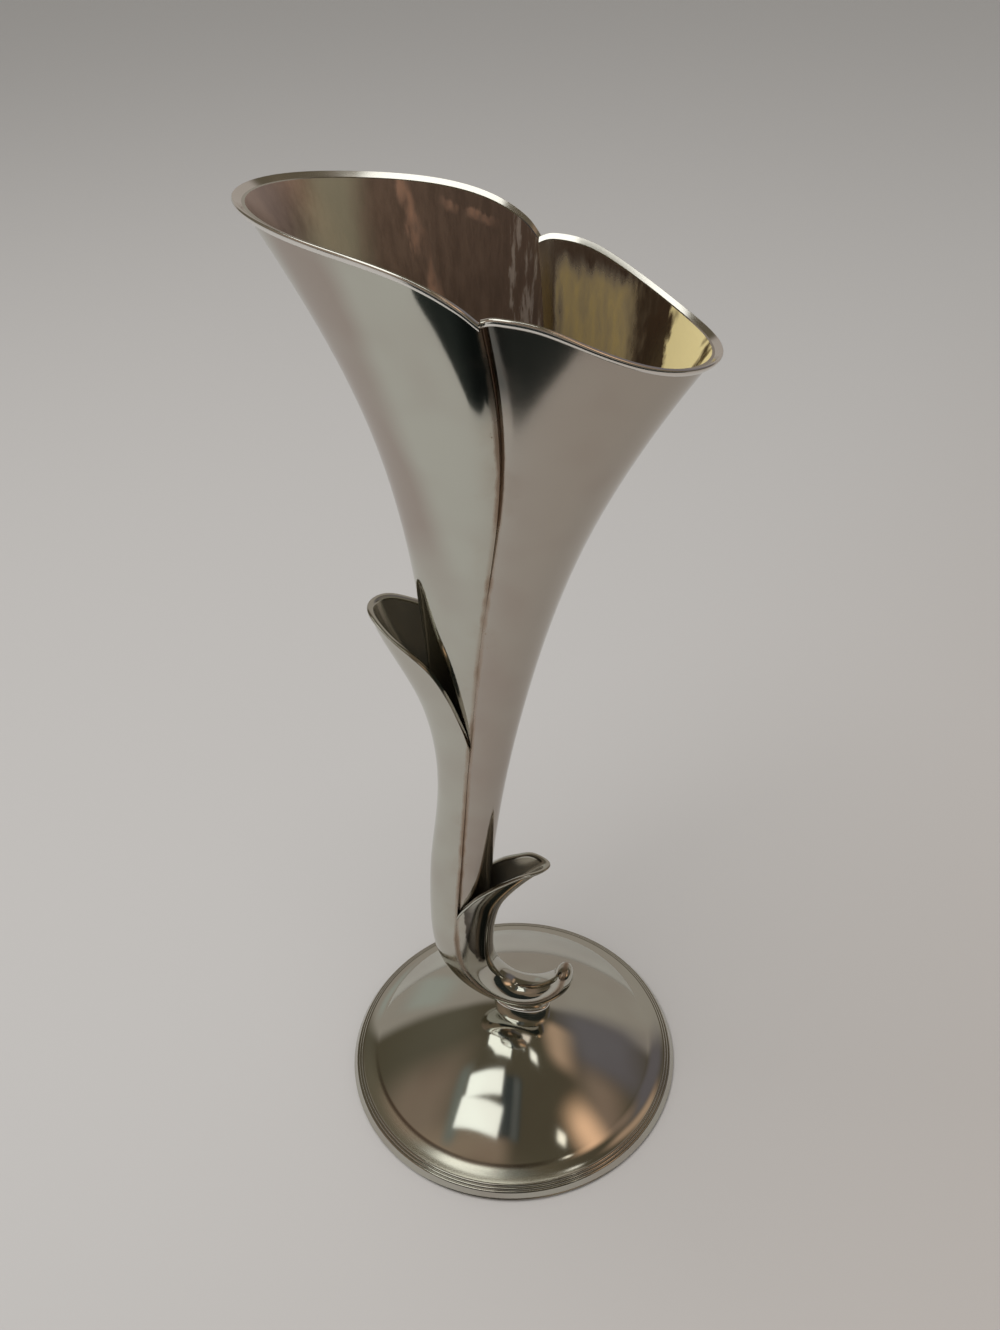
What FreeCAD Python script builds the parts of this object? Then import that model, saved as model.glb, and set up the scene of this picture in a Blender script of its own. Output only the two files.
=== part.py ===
"""Trumpet vase: two silver petals soldered into one trumpet, standing in two long leaves that
curl into a scroll, on a loaded round foot.

Frame: millimetres, +Z up, origin at the centre of the foot's underside. +X points to the low side
of the mouth and to the tip of the scroll. The vase is its own mirror image across the plane Y = 0.
"""
import FreeCAD, Part
import math
import os
import re

import Sketcher
from FreeCAD import Vector

os.makedirs("parts", exist_ok=True)
doc = FreeCAD.newDocument("trumpet_vase")

# Driving dimensions

SIZES = (
    ("stem_height", 151.5, "from the underside of the scroll to the highest point of the mouth"),
    ("mouth_reach", 31.6, "from the vase's axis to the tip of the high petal"),
    ("petal_depth", 17.2, "half of the mouth's width across its middle"),
    ("petal_wall", 0.6, "sheet of the two petals"),
    ("leaf_wall", 0.75, "sheet of the two leaves"),
    ("seam_gap", 0.1, "solder line between two edges that meet in the crease"),
    ("nest_clearance", 0.1, "between a petal's foot and the leaf around it"),
    ("rim_height", 1.1, "mouth wire, measured up and down"),
    ("rim_proud", 0.8, "how far the mouth wire stands out from the sheet"),
    ("edge_height", 0.9, "thickened edge of a leaf, measured along the sheet"),
    ("edge_proud", 0.3, "how far a leaf's edge stands out from the sheet"),
    ("plug_thickness", 1.6, "water stop soldered across the trumpet's foot"),
    ("foot_radius", 32.3, "outside of the foot's wire"),
    ("pad_lift", 0.2, "how far the baize stands below the foot's wire"),
    ("pad_thickness", 0.8, "baize pad"),
    ("plate_thickness", 0.6, "closing plate above the baize"),
    ("rim_band_height", 1.5, "top of the plain edge of the foot's wire"),
    ("rim_band_lean", 0.6, "how far that edge leans in over its height"),
    ("rim_ledge_height", 1.4, "ledge on which the dome's edge sits"),
    ("rim_top_height", 2.4, "top of the foot's wire, where the dome leaves it"),
    ("rim_band_width", 2.8, "foot's wire, from its outside to its bore"),
    ("reed_zone_width", 2.1, "from the foot's outside to the dome, over the reeds"),
    ("edge_round", 0.4, "rounding under the foot's upright edge"),
    ("bead_round", 0.45, "radius of one reed"),
    ("dome_wall", 0.7, "sheet of the foot's dome"),
    ("dome_height", 14.5, "top of the dome"),
    ("cavetto_width", 3.2, "hollow moulding, from the dome's edge in to its flank"),
    ("cavetto_height", 3.9, "height at which the flank begins"),
    ("cavetto_round", 9.0, "hollow moulding's radius"),
    ("cap_reach", 9.0, "radius at which the flank passes into the dome's crown"),
    ("flank_round", 75.0, "flank's radius"),
    ("cap_round", 27.5, "crown's radius"),
    ("saddle_length", 11.0, "oval collar under the scroll, along X"),
    ("saddle_width", 6.2, "oval collar, along Y"),
    ("saddle_offset", 2.2, "middle of the collar from the vase's axis"),
    ("saddle_grip", 1.0, "how far the collar reaches up round the scroll"),
    ("scroll_rest_height", 17.5, "underside of the scroll"),
    ("stud_radius", 1.5, "screwed stud that ties the scroll to the foot"),
    ("stud_cover", 0.7, "metal between the stud's end and the scroll"),
    ("stud_tail", 1.0, "stud showing below its nut"),
    ("hole_clearance", 0.15, "round the stud, radially"),
    ("washer_radius", 4.2, "outside of the washer"),
    ("washer_thickness", 0.8, "washer"),
    ("nut_radius", 3.2, "hexagon nut, to its corners"),
    ("nut_thickness", 2.4, "hexagon nut"),
    ("nut_room", 1.2, "air round the washer and nut in the pitch filling"),
    ("fill_clearance", 0.15, "between the pitch filling and the dome"),
    ("cut_over", 6.0, "overrun of a cutting shape past what it cuts"),
)

sheet = doc.addObject("Spreadsheet::Sheet", "Sizes")
for row, (alias, value, meaning) in enumerate(SIZES, start=1):
    sheet.set(f"A{row}", meaning)
    sheet.set(f"B{row}", str(value))
    sheet.setAlias(f"B{row}", alias)
doc.recompute()
ALIASES = {alias for alias, value, meaning in SIZES}


def size(alias):
    """A driving dimension in millimetres."""
    return float(sheet.get(alias))


def bound(text):
    """A sum of aliases, written so that an object's expression finds them in the sheet."""
    return re.sub(r"[a-z_]+", lambda word: f"Sizes.{word[0]}" if word[0] in ALIASES else word[0], text)


def worked_out(text):
    """The value of a sum of aliases."""
    return float(sheet.evalExpression(text))


# Radius at which the hollow moulding passes into the dome's flank, and height at which the flank
# passes into the round crown, which is centred on the axis
CAVETTO_REACH = "(foot_radius - reed_zone_width - cavetto_width)"
CAP_HEIGHT = "(dome_height - cap_round + sqrt(cap_round ^ 2 - cap_reach ^ 2))"

# Tables of the vase's outlines. The first column is the height above the scroll's underside, as a
# share of stem_height. Places along X are shares of mouth_reach, half-depths along Y of petal_depth.

# height, crease, left outline, right outline, half-depth of each petal, and of the crease on each
PETAL_SHARES = (
    (0.14, -0.270, -0.275, -0.112, 0.206, 0.202, 0.186, 0.184),
    (0.20, -0.245, -0.280, -0.093, 0.208, 0.213, 0.190, 0.195),
    (0.25, -0.217, -0.286, -0.071, 0.213, 0.232, 0.194, 0.212),
    (0.30, -0.190, -0.294, -0.039, 0.219, 0.254, 0.200, 0.232),
    (0.35, -0.163, -0.304, -0.001, 0.226, 0.268, 0.206, 0.245),
    (0.40, -0.137, -0.315, 0.043, 0.235, 0.283, 0.215, 0.256),
    (0.45, -0.106, -0.328, 0.093, 0.264, 0.306, 0.244, 0.270),
    (0.50, -0.074, -0.341, 0.149, 0.314, 0.344, 0.293, 0.293),
    (0.60, 0.001, -0.358, 0.280, 0.432, 0.444, 0.379, 0.379),
    (0.70, 0.090, -0.402, 0.452, 0.583, 0.560, 0.482, 0.482),
    (0.80, 0.161, -0.503, 0.690, 0.736, 0.679, 0.590, 0.590),
    (0.88, 0.163, -0.645, 0.930, 0.850, 0.775, 0.684, 0.684),
    (0.94, 0.134, -0.787, 1.142, 0.926, 0.850, 0.766, 0.766),
    (1.00, 0.100, -0.951, 1.368, 0.994, 0.926, 0.856, 0.856),
    (1.05, 0.072, -1.097, 1.560, 1.047, 0.988, 0.932, 0.932),
)

# height, outline, half-depth, half-depth of the crease
LEFT_LEAF_SHARES = (
    (0.16, -0.461, 0.263, 0.240),
    (0.20, -0.449, 0.264, 0.241),
    (0.25, -0.424, 0.268, 0.244),
    (0.30, -0.387, 0.273, 0.250),
    (0.35, -0.355, 0.279, 0.256),
    (0.40, -0.345, 0.288, 0.264),
    (0.43, -0.354, 0.302, 0.278),
    (0.46, -0.375, 0.330, 0.303),
    (0.50, -0.428, 0.390, 0.360),
    (0.55, -0.540, 0.460, 0.425),
    (0.58, -0.604, 0.488, 0.452),
    (0.60, -0.626, 0.497, 0.460),
    (0.62, -0.634, 0.502, 0.465),
)
RIGHT_LEAF_SHARES = (
    (0.160, -0.055, 0.264, 0.240),
    (0.183, -0.014, 0.266, 0.242),
    (0.200, 0.034, 0.268, 0.244),
    (0.230, 0.143, 0.268, 0.244),
    (0.250, 0.230, 0.264, 0.240),
    (0.268, 0.318, 0.258, 0.235),
)

# The scroll, from its nose to the straight stem: the crease's place along X and Z, how far the outer
# and the inner lobe reach from it, and the half-depth of both, these three as shares of mouth_reach,
# mouth_reach and petal_depth.
SCROLL_SHARES = (
    (0.335, 0.0625, 0.068, 0.060, 0.150),
    (0.266, 0.0385, 0.077, 0.072, 0.176),
    (0.160, 0.0222, 0.081, 0.082, 0.190),
    (0.036, 0.0172, 0.083, 0.093, 0.200),
    (-0.084, 0.0262, 0.107, 0.106, 0.216),
    (-0.190, 0.0492, 0.152, 0.126, 0.240),
    (-0.254, 0.0825, 0.186, 0.158, 0.256),
    (-0.272, 0.1220, 0.193, 0.182, 0.262),
)
NOSE_SHARES = (
    (0.335, 0.0625, 0.068, 0.060, 0.150),
    (0.349, 0.0735, 0.058, 0.052, 0.130),
    (0.356, 0.0820, 0.040, 0.037, 0.092),
    (0.358, 0.0870, 0.016, 0.015, 0.036),
)
SCROLL_CREASE_SHARE = 0.92

# Edges seen from the front: places along X as shares of mouth_reach, heights as before
LEFT_MOUTH_SHARES = (
    (-1.20, 1.0020), (-1.00, 1.0000), (-0.85, 0.9970), (-0.65, 0.9920), (-0.40, 0.9855), (-0.20, 0.9775),
    (-0.05, 0.9667), (0.05, 0.9550), (0.10, 0.9465), (0.135, 0.9385), (0.20, 0.9280),
)
RIGHT_MOUTH_SHARES = (
    (0.07, 0.9345), (0.135, 0.9385), (0.17, 0.9410), (0.22, 0.9415), (0.35, 0.9370), (0.50, 0.9235),
    (0.65, 0.9080), (0.80, 0.8945), (0.97, 0.8850), (1.15, 0.8800),
)
LEFT_LEAF_EDGE_SHARES = (
    (-0.78, 0.5900), (-0.63, 0.5965), (-0.58, 0.5945), (-0.50, 0.5860), (-0.38, 0.5725), (-0.32, 0.5650),
    (-0.244, 0.5485), (-0.20, 0.5300), (-0.17, 0.5120), (-0.15, 0.4960), (-0.130, 0.4780),
    (-0.117, 0.4620), (-0.106, 0.4420),
)
RIGHT_LEAF_EDGE_SHARES = (
    (0.40, 0.2570), (0.26, 0.2555), (0.20, 0.2535), (0.12, 0.2500), (0.04, 0.2400), (-0.04, 0.2285),
    (-0.10, 0.2175), (-0.15, 0.2065), (-0.20, 0.1925), (-0.24, 0.1800), (-0.266, 0.1680),
)

# Where along half a turn of a lobe its outline is set, and how wide the crease's groove is
TURN_SHARES = (0.0, 0.006, 0.014, 0.026, 0.045, 0.08, 0.14, 0.22, 0.35)
GROOVE_WIDTH_SHARE = 0.095

# Heights at which the petals and leaves are cut across for their lofts
PETAL_STATION_SHARES = tuple(row[0] for row in PETAL_SHARES)
LEFT_PETAL_FOOT_SHARE = 0.21
RIGHT_PETAL_FOOT_SHARE = 0.15
STATION_GAP_SHARE = 0.01
RIM_LOWEST_SHARE = 0.80
PLUG_SHARE = 0.235
STEM_LEAD_SHARES = (0.16, 0.20)
REED_COUNT = 3


def height(share):
    """A height above the table."""
    return size("scroll_rest_height") + share * size("stem_height")


def across(share):
    """A place or length along X."""
    return share * size("mouth_reach")


def deep(share):
    """A half-depth along Y."""
    return share * size("petal_depth")


def column(rows, index):
    """A smooth function of the height share through one column of a table."""
    curve = Part.BSplineCurve()
    heights = [row[0] for row in rows]
    curve.interpolate(Points=[Vector(row[index], 0, 0) for row in rows], Parameters=heights)
    return lambda share: curve.value(share).x


crease_at = column(PETAL_SHARES, 1)
LEFT = Vector(-1, 0, 0)
RIGHT = Vector(1, 0, 0)


# Sections. A lobe is the half-oval on one side of the crease. Its station is a tuple: the crease's
# point, the direction in which the lobe bulges, its length that way, its half-depth, and the
# half-depth of the crease.

def level_station(share, way, reach, depth, crease_depth):
    """A lobe cut across at one height, its figures still shares."""
    crease = crease_at(share)
    centre = Vector(across(crease), 0, height(share))
    return centre, way, abs(across(reach - crease)), deep(depth), deep(crease_depth)


def petal_station(share, side):
    """side is 0 for the left petal and 1 for the right one."""
    reach, depth, crease_depth = (column(PETAL_SHARES, index + side)(share) for index in (2, 4, 6))
    return level_station(share, (LEFT, RIGHT)[side], reach, depth, crease_depth)


def leaf_station(row, side):
    """A station from a row of one leaf's table."""
    share, reach, depth, crease_depth = row
    return level_station(share, (LEFT, RIGHT)[side], reach, depth, crease_depth)


def scroll_path(rows):
    """The crease round the scroll as a curve, with the straight stem's first stations to lead it."""
    lead = [(crease_at(share), share) for share in STEM_LEAD_SHARES]
    points = [Vector(across(x), 0, height(z)) for x, z in [(row[0], row[1]) for row in rows] + lead]
    curve = Part.BSplineCurve()
    curve.interpolate(points)
    return curve


def scroll_stations(rows, side):
    """Lobes across the curling stem; the left leaf is the outer lobe, the right leaf the inner one."""
    path = scroll_path(SCROLL_SHARES)
    stations = []
    for x, z, outer, inner, depth in rows:
        centre = Vector(across(x), 0, height(z))
        along = path.tangent(path.parameter(centre))[0]
        outward = Vector(-along.z, 0, along.x)
        way = (outward, outward.negative())[side]
        length = across((outer, inner)[side])
        stations.append((centre, way, length, deep(depth), deep(depth * SCROLL_CREASE_SHARE)))
    return stations


def lobe_curve(station, inset):
    """The lobe's outline from the front crease round to the back one, drawn in by inset."""
    centre, way, length, depth, crease_depth = station
    groove_width = GROOVE_WIDTH_SHARE * depth
    half = [(turn, math.sin(math.pi * turn), math.cos(math.pi * turn)) for turn in TURN_SHARES]
    front = []
    for turn, far, near in half:
        groove = (depth - crease_depth) * math.exp(-far * length / groove_width)
        front.append((turn, (length - inset) * far, (depth - inset) * near - groove))
    tip = (0.5, length - inset, 0.0)
    back = [(1 - turn, far, -wide) for turn, far, wide in reversed(front)]
    along = front + [tip] + back
    start = centre + way * (size("seam_gap") / 2)
    points = [start + way * far - Vector(0, wide, 0) for turn, far, wide in along]
    curve = Part.BSplineCurve()
    curve.interpolate(Points=points, Parameters=[turn for turn, far, wide in along])
    return curve.toShape()


def ends(edge):
    """The first and last point of an edge."""
    return edge.valueAt(edge.FirstParameter), edge.valueAt(edge.LastParameter)


def band(station, proud, inset):
    """The sheet's section: between the outline pushed out by proud and the one drawn in by inset."""
    outer = lobe_curve(station, -proud)
    inner = lobe_curve(station, inset)
    outer_front, outer_back = ends(outer)
    inner_front, inner_back = ends(inner)
    back_edge = Part.LineSegment(outer_back, inner_back).toShape()
    front_edge = Part.LineSegment(inner_front, outer_front).toShape()
    return Part.Wire([outer, back_edge, inner, front_edge])


def filled(station, inset):
    """The whole lobe's section, closed straight across the crease."""
    outer = lobe_curve(station, inset)
    front, back = ends(outer)
    return Part.Wire([outer, Part.LineSegment(back, front).toShape()])


def sheet_loft(stations, wall, proud=0.0):
    """A sheet shell through its stations, thickened by proud on its outer face."""
    return Part.makeLoft([band(station, proud, wall) for station in stations], True)


def solid_loft(stations, inset=0.0):
    """A full body through its stations."""
    return Part.makeLoft([filled(station, inset) for station in stations], True)


def joined(stations):
    """Stations moved over the seam, so that a left and a right body run into each other."""
    return [(centre - way * size("seam_gap"), way, *lengths) for centre, way, *lengths in stations]


# Cutting shapes seen from the front

def edge_points(rows):
    """An edge's table as points in the plane Y = 0."""
    return [Vector(across(x), 0, height(z)) for x, z in rows]


def shifted(points, way):
    """Points moved together."""
    return [point + way for point in points]


def drawn_in(points, distance, turn):
    """Points moved square to their own line, to its left for turn 1 and to its right for turn -1."""
    moved = []
    for index, point in enumerate(points):
        before = points[max(index - 1, 0)]
        after = points[min(index + 1, len(points) - 1)]
        along = (after - before).normalize()
        moved.append(point + Vector(-along.z, 0, along.x) * (turn * distance))
    return moved


def below(points, corners):
    """A slab that holds all that lies under a smooth edge, closed through its corners."""
    curve = Part.BSplineCurve()
    curve.interpolate(points)
    around = [points[-1]] + corners + [points[0]]
    lines = [Part.LineSegment(a, b).toShape() for a, b in zip(around, around[1:])]
    outline = Part.Face(Part.Wire([curve.toShape()] + lines))
    half_width = size("petal_depth") + size("cut_over")
    outline.translate(Vector(0, -half_width, 0))
    return outline.extrude(Vector(0, 2 * half_width, 0))


def under_mouth(rows, drop=0.0):
    """All that lies under the mouth, or further down by drop."""
    points = shifted(edge_points(rows), Vector(0, 0, -drop))
    far = 2 * size("mouth_reach")
    heights = points[-1].z, 0, 0, points[0].z
    return below(points, [Vector(x, 0, z) for x, z in zip((far, far, -far, -far), heights)])


def under_leaf_edge(rows, turn, inset=0.0):
    """All that lies under a leaf's edge, or inside it by inset. The edge ends in the crease."""
    points = drawn_in(edge_points(rows), inset, turn) if inset else edge_points(rows)
    crease_side = -turn
    far = Vector(crease_side * size("mouth_reach"), 0, 0)
    last = points[-1] + Vector(crease_side * size("cut_over"), 0, -size("cut_over"))
    first = points[0]
    outer_x = first.x - crease_side * size("cut_over")
    return below(points, [last, far, Vector(outer_x, 0, 0), Vector(outer_x, 0, first.z)])


# Objects of the document

def feature(label, shape):
    """A piece whose free-form shape is made from the tables above."""
    piece = doc.addObject("Part::Feature", label)
    piece.Shape = shape.Solids[0] if len(shape.Solids) == 1 else shape
    return piece


def origin_plane(body, role):
    """One of the body's own planes."""
    return next(plane for plane in body.Origin.OriginFeatures if plane.Role == role)


def closed_sketch(body, name, corners, rounds):
    """A closed outline in the XZ plane. corners are pairs of sums of aliases. rounds gives, for an
    edge's number, its radius and whether it bulges to the left (1) or right (-1) of its course."""
    sketch = body.newObject("Sketcher::SketchObject", name)
    sketch.AttachmentSupport = [(origin_plane(body, "XZ_Plane"), "")]
    sketch.MapMode = "FlatFace"
    places = [Vector(worked_out(x), worked_out(z), 0) for x, z in corners]
    up = Vector(0, 0, 1)
    for index, start in enumerate(places):
        end = places[(index + 1) % len(places)]
        if index not in rounds:
            sketch.addGeometry(Part.LineSegment(start, end))
            continue
        alias, side = rounds[index]
        radius = size(alias)
        chord = end - start
        middle = (start + end) * 0.5
        square = Vector(-chord.y, chord.x, 0).normalize() * side
        rise = radius - math.sqrt(radius ** 2 - (chord.Length / 2) ** 2)
        centre = middle + square * (rise - radius)
        angles = [math.atan2((point - centre).y, (point - centre).x) for point in (start, end)]
        first, last = angles if side < 0 else reversed(angles)
        sketch.addGeometry(Part.ArcOfCircle(Part.Circle(centre, up, radius), first, last))
    tie_sketch(sketch, corners, rounds)
    return sketch


def tie_sketch(sketch, corners, rounds):
    """Joins the sketch's edges end to end and binds each corner and radius to the sheet."""
    count = len(corners)

    def first_end(index):
        return 2 if index in rounds and rounds[index][1] > 0 else 1

    for index in range(count):
        after = (index + 1) % count
        sketch.addConstraint(
            Sketcher.Constraint("Coincident", index, 3 - first_end(index), after, first_end(after)))
    for index, (x, z) in enumerate(corners):
        for kind, text, axis in (("DistanceX", x, -2), ("DistanceY", z, -1)):
            if text == "0":
                sketch.addConstraint(
                    Sketcher.Constraint("PointOnObject", index, first_end(index), axis))
                continue
            number = sketch.addConstraint(
                Sketcher.Constraint(kind, -1, 1, index, first_end(index), worked_out(text)))
            sketch.setExpression(f"Constraints[{number}]", bound(text))
    for index, (alias, side) in rounds.items():
        number = sketch.addConstraint(Sketcher.Constraint("Radius", index, size(alias)))
        sketch.setExpression(f"Constraints[{number}]", bound(alias))


def turned(label, corners, rounds=None):
    """A body turned about the vase's axis from a closed outline."""
    body = doc.addObject("PartDesign::Body", label)
    sketch = closed_sketch(body, f"{label}_outline", corners, rounds or {})
    spin = body.newObject("PartDesign::Revolution", f"{label}_turned")
    spin.Profile = sketch
    spin.ReferenceAxis = (sketch, ["V_Axis"])
    spin.Angle = 360
    return body


def cylinder(name, radius, tall, bottom):
    """A cylinder on the stud's axis, all of it bound to the sheet."""
    shape = doc.addObject("Part::Cylinder", name)
    shape.setExpression("Radius", bound(radius))
    shape.setExpression("Height", bound(tall))
    shape.setExpression("Placement.Base.x", bound("saddle_offset"))
    shape.setExpression("Placement.Base.z", bound(bottom))
    return shape


def cut(label, base, tool):
    """One shape less another."""
    result = doc.addObject("Part::Cut", label)
    result.Base = base
    result.Tool = tool
    return result


# The trumpet

def make_petal(side):
    """One petal and the wire along its mouth."""
    name = ("left", "right")[side]
    foot_share = (LEFT_PETAL_FOOT_SHARE, RIGHT_PETAL_FOOT_SHARE)[side]
    mouth = (LEFT_MOUTH_SHARES, RIGHT_MOUTH_SHARES)[side]
    lowest = foot_share + STATION_GAP_SHARE
    shares = [foot_share] + [share for share in PETAL_STATION_SHARES if share > lowest]
    stations = [petal_station(share, side) for share in shares]
    wall = size("petal_wall")
    shell = sheet_loft(stations, wall)
    feature(f"{name}_petal", shell.common(under_mouth(mouth, size("rim_height"))))
    top_stations = [petal_station(share, side) for share in shares if share >= RIM_LOWEST_SHARE]
    thick = sheet_loft(top_stations, wall, size("rim_proud"))
    wire = thick.common(under_mouth(mouth)).cut(under_mouth(mouth, size("rim_height")))
    feature(f"{name}_rim", wire)


def make_plug():
    """The water stop inside the trumpet's foot, shaped to both petals."""
    inset = size("petal_wall") + size("nest_clearance")
    top_share = PLUG_SHARE + size("plug_thickness") / size("stem_height")
    halves = []
    for side in (0, 1):
        stations = [petal_station(share, side) for share in (PLUG_SHARE, top_share)]
        halves.append(solid_loft(joined(stations), inset))
    plug = halves[0].fuse(halves[1]).cut([doc.left_petal.Shape, doc.right_petal.Shape])
    feature("stem_plug", max(plug.Solids, key=lambda solid: solid.Volume))


# The leaves and the scroll

def make_leaf(side):
    """One leaf, from the scroll's nose up to its free tip, and its thickened edge."""
    name = ("left", "right")[side]
    rows = (LEFT_LEAF_SHARES, RIGHT_LEAF_SHARES)[side]
    edge = (LEFT_LEAF_EDGE_SHARES, RIGHT_LEAF_EDGE_SHARES)[side]
    turn = (-1, 1)[side]
    wall = size("leaf_wall")
    level = [leaf_station(row, side) for row in rows]
    shell = sheet_loft(scroll_stations(SCROLL_SHARES, side) + level, wall)
    inner_slab = under_leaf_edge(edge, turn, size("edge_height"))
    outer_slab = under_leaf_edge(edge, turn)
    feature(f"{name}_leaf", shell.common(inner_slab))
    thick = sheet_loft(level, wall, size("edge_proud"))
    feature(f"{name}_leaf_edge", thick.common(outer_slab).cut(inner_slab))


def make_nose():
    """The scroll's cast nose, which closes both lobes."""
    halves = []
    for side in (0, 1):
        halves.append(solid_loft(joined(scroll_stations(NOSE_SHARES, side))))
    feature("scroll_nose", halves[0].fuse(halves[1]))


# The foot

def make_foot():
    """Wire, dome, filling, plate and baize, all turned about the vase's axis."""
    pad_reach = "foot_radius - rim_band_width - nest_clearance"
    bore = "foot_radius - rim_band_width"
    slope = "foot_radius - reed_zone_width"
    band_top = "foot_radius - rim_band_lean"
    reed = f"(reed_zone_width - rim_band_lean) / {REED_COUNT}"
    step = f"(rim_top_height - rim_band_height) / {REED_COUNT}"
    plate_top = "pad_thickness + plate_thickness"
    turned("felt_pad", [
        ("0", "0"), (pad_reach, "0"), (pad_reach, "pad_thickness"), ("0", "pad_thickness")])
    turned("base_plate", [
        ("0", "pad_thickness"), (pad_reach, "pad_thickness"), (pad_reach, plate_top), ("0", plate_top)])
    turned("foot_rim", [
        (bore, "pad_lift"),
        ("foot_radius - edge_round", "pad_lift"),
        ("foot_radius", "pad_lift + edge_round"),
        (band_top, "rim_band_height"),
        (f"({band_top}) - {reed}", f"rim_band_height + {step}"),
        (f"({band_top}) - 2 * {reed}", f"rim_band_height + 2 * {step}"),
        (slope, "rim_top_height"),
        (slope, "rim_ledge_height"),
        (bore, "rim_ledge_height"),
    ], {1: ("edge_round", -1), 3: ("bead_round", -1), 4: ("bead_round", -1), 5: ("bead_round", -1)})
    dome_edge = "foot_radius - reed_zone_width - nest_clearance / 2"
    dome_hollow = "foot_radius - reed_zone_width - dome_wall"
    turned("dome_blank", [
        (dome_hollow, "rim_ledge_height"),
        (dome_edge, "rim_ledge_height"),
        (dome_edge, "rim_top_height"),
        (CAVETTO_REACH, "cavetto_height"),
        ("cap_reach", CAP_HEIGHT),
        ("0", "dome_height"),
        ("0", "dome_height - dome_wall"),
        ("cap_reach", f"{CAP_HEIGHT} - dome_wall"),
        (f"{CAVETTO_REACH} - dome_wall / 2", "cavetto_height - dome_wall"),
    ], {2: ("cavetto_round", 1), 3: ("flank_round", -1), 4: ("cap_round", -1),
        6: ("cap_round", 1), 7: ("flank_round", 1)})
    turned("fill_blank", [
        ("0", plate_top),
        (pad_reach, plate_top),
        (f"{CAVETTO_REACH} - dome_wall / 2", "cavetto_height - dome_wall - fill_clearance"),
        ("cap_reach", f"{CAP_HEIGHT} - dome_wall - fill_clearance"),
        ("0", "dome_height - dome_wall - fill_clearance"),
    ], {2: ("flank_round", -1), 3: ("cap_round", -1)})
    hole = cylinder("dome_hole", "stud_radius + hole_clearance", "dome_height", "0 mm")
    cut("foot_dome", doc.dome_blank, hole)


def make_fixing():
    """The stud from the collar down through the dome, with its washer and nut."""
    crown_drop = "cap_round - sqrt(cap_round ^ 2 - (saddle_offset + washer_radius) ^ 2)"
    washer_top = f"dome_height - dome_wall - ({crown_drop})"
    washer_bottom = f"{washer_top} - washer_thickness"
    nut_bottom = f"{washer_bottom} - nut_thickness"
    stud_bottom = f"{nut_bottom} - stud_tail"
    stud_top = "scroll_rest_height - stud_cover"
    cylinder("foot_stud", "stud_radius", f"{stud_top} - ({stud_bottom})", stud_bottom)
    bore = cylinder("washer_bore", "stud_radius + hole_clearance", "dome_height", "0 mm")
    disc = cylinder("washer_disc", "washer_radius", "washer_thickness", washer_bottom)
    cut("foot_washer", disc, bore)
    hexagon = doc.addObject("Part::Prism", "nut_blank")
    hexagon.Polygon = 6
    hexagon.setExpression("Circumradius", bound("nut_radius"))
    hexagon.setExpression("Height", bound("nut_thickness"))
    hexagon.setExpression("Placement.Base.x", bound("saddle_offset"))
    hexagon.setExpression("Placement.Base.z", bound(nut_bottom))
    thread = cylinder("nut_thread", "stud_radius", "dome_height", "0 mm")
    cut("foot_nut", hexagon, thread)
    pocket = cylinder(
        "nut_pocket", "washer_radius + nut_room", "dome_height", f"{stud_bottom} - nut_room")
    cut("foot_loading", doc.fill_blank, pocket)


def make_saddle():
    """The oval collar between dome and scroll, hollowed on top to the scroll's shape."""
    low = worked_out(CAP_HEIGHT)
    tall = size("scroll_rest_height") + size("saddle_grip") - low
    middle = Vector(size("saddle_offset"), 0, low)
    oval = Part.Ellipse(middle, size("saddle_length") / 2, size("saddle_width") / 2).toShape()
    blank = Part.Face(Part.Wire([oval])).extrude(Vector(0, 0, tall))
    dome_top = doc.fill_blank.Shape.copy()
    dome_top.translate(Vector(0, 0, size("dome_wall") + size("fill_clearance")))
    shape = blank.cut(dome_top).cut(doc.left_leaf.Shape).cut(doc.foot_stud.Shape)
    feature("scroll_saddle", max(shape.Solids, key=lambda solid: solid.Volume))


make_petal(0)
make_petal(1)
make_plug()
make_leaf(0)
make_leaf(1)
make_nose()
make_foot()
make_fixing()
doc.recompute()
make_saddle()
doc.recompute()

# Checks and files

PIECES = (
    "left_petal", "right_petal", "left_rim", "right_rim", "stem_plug",
    "left_leaf", "right_leaf", "left_leaf_edge", "right_leaf_edge", "scroll_nose",
    "scroll_saddle", "foot_stud", "foot_washer", "foot_nut",
    "foot_dome", "foot_rim", "foot_loading", "base_plate", "felt_pad",
)

for item in doc.Objects:
    if "Invalid" in item.State or "Error" in item.State:
        raise RuntimeError(f"{item.Name} did not build: {item.State}")
for name in PIECES:
    shape = doc.getObject(name).Shape
    if shape.isNull() or not shape.isValid() or len(shape.Solids) != 1:
        raise RuntimeError(f"{name} is not one sound solid: {len(shape.Solids)} solids")
    print(f"{name}: {shape.Volume:.1f} mm3")
    shape.exportStep(f"parts/{name}.step")
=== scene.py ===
"""Trumpet vase in silver: two petals soldered into one trumpet, standing in two leaves that curl
into a scroll, on a loaded round foot."""
import math
from functools import partialmethod

import bpy
import numpy as np
from mathutils import Matrix, Vector


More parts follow.
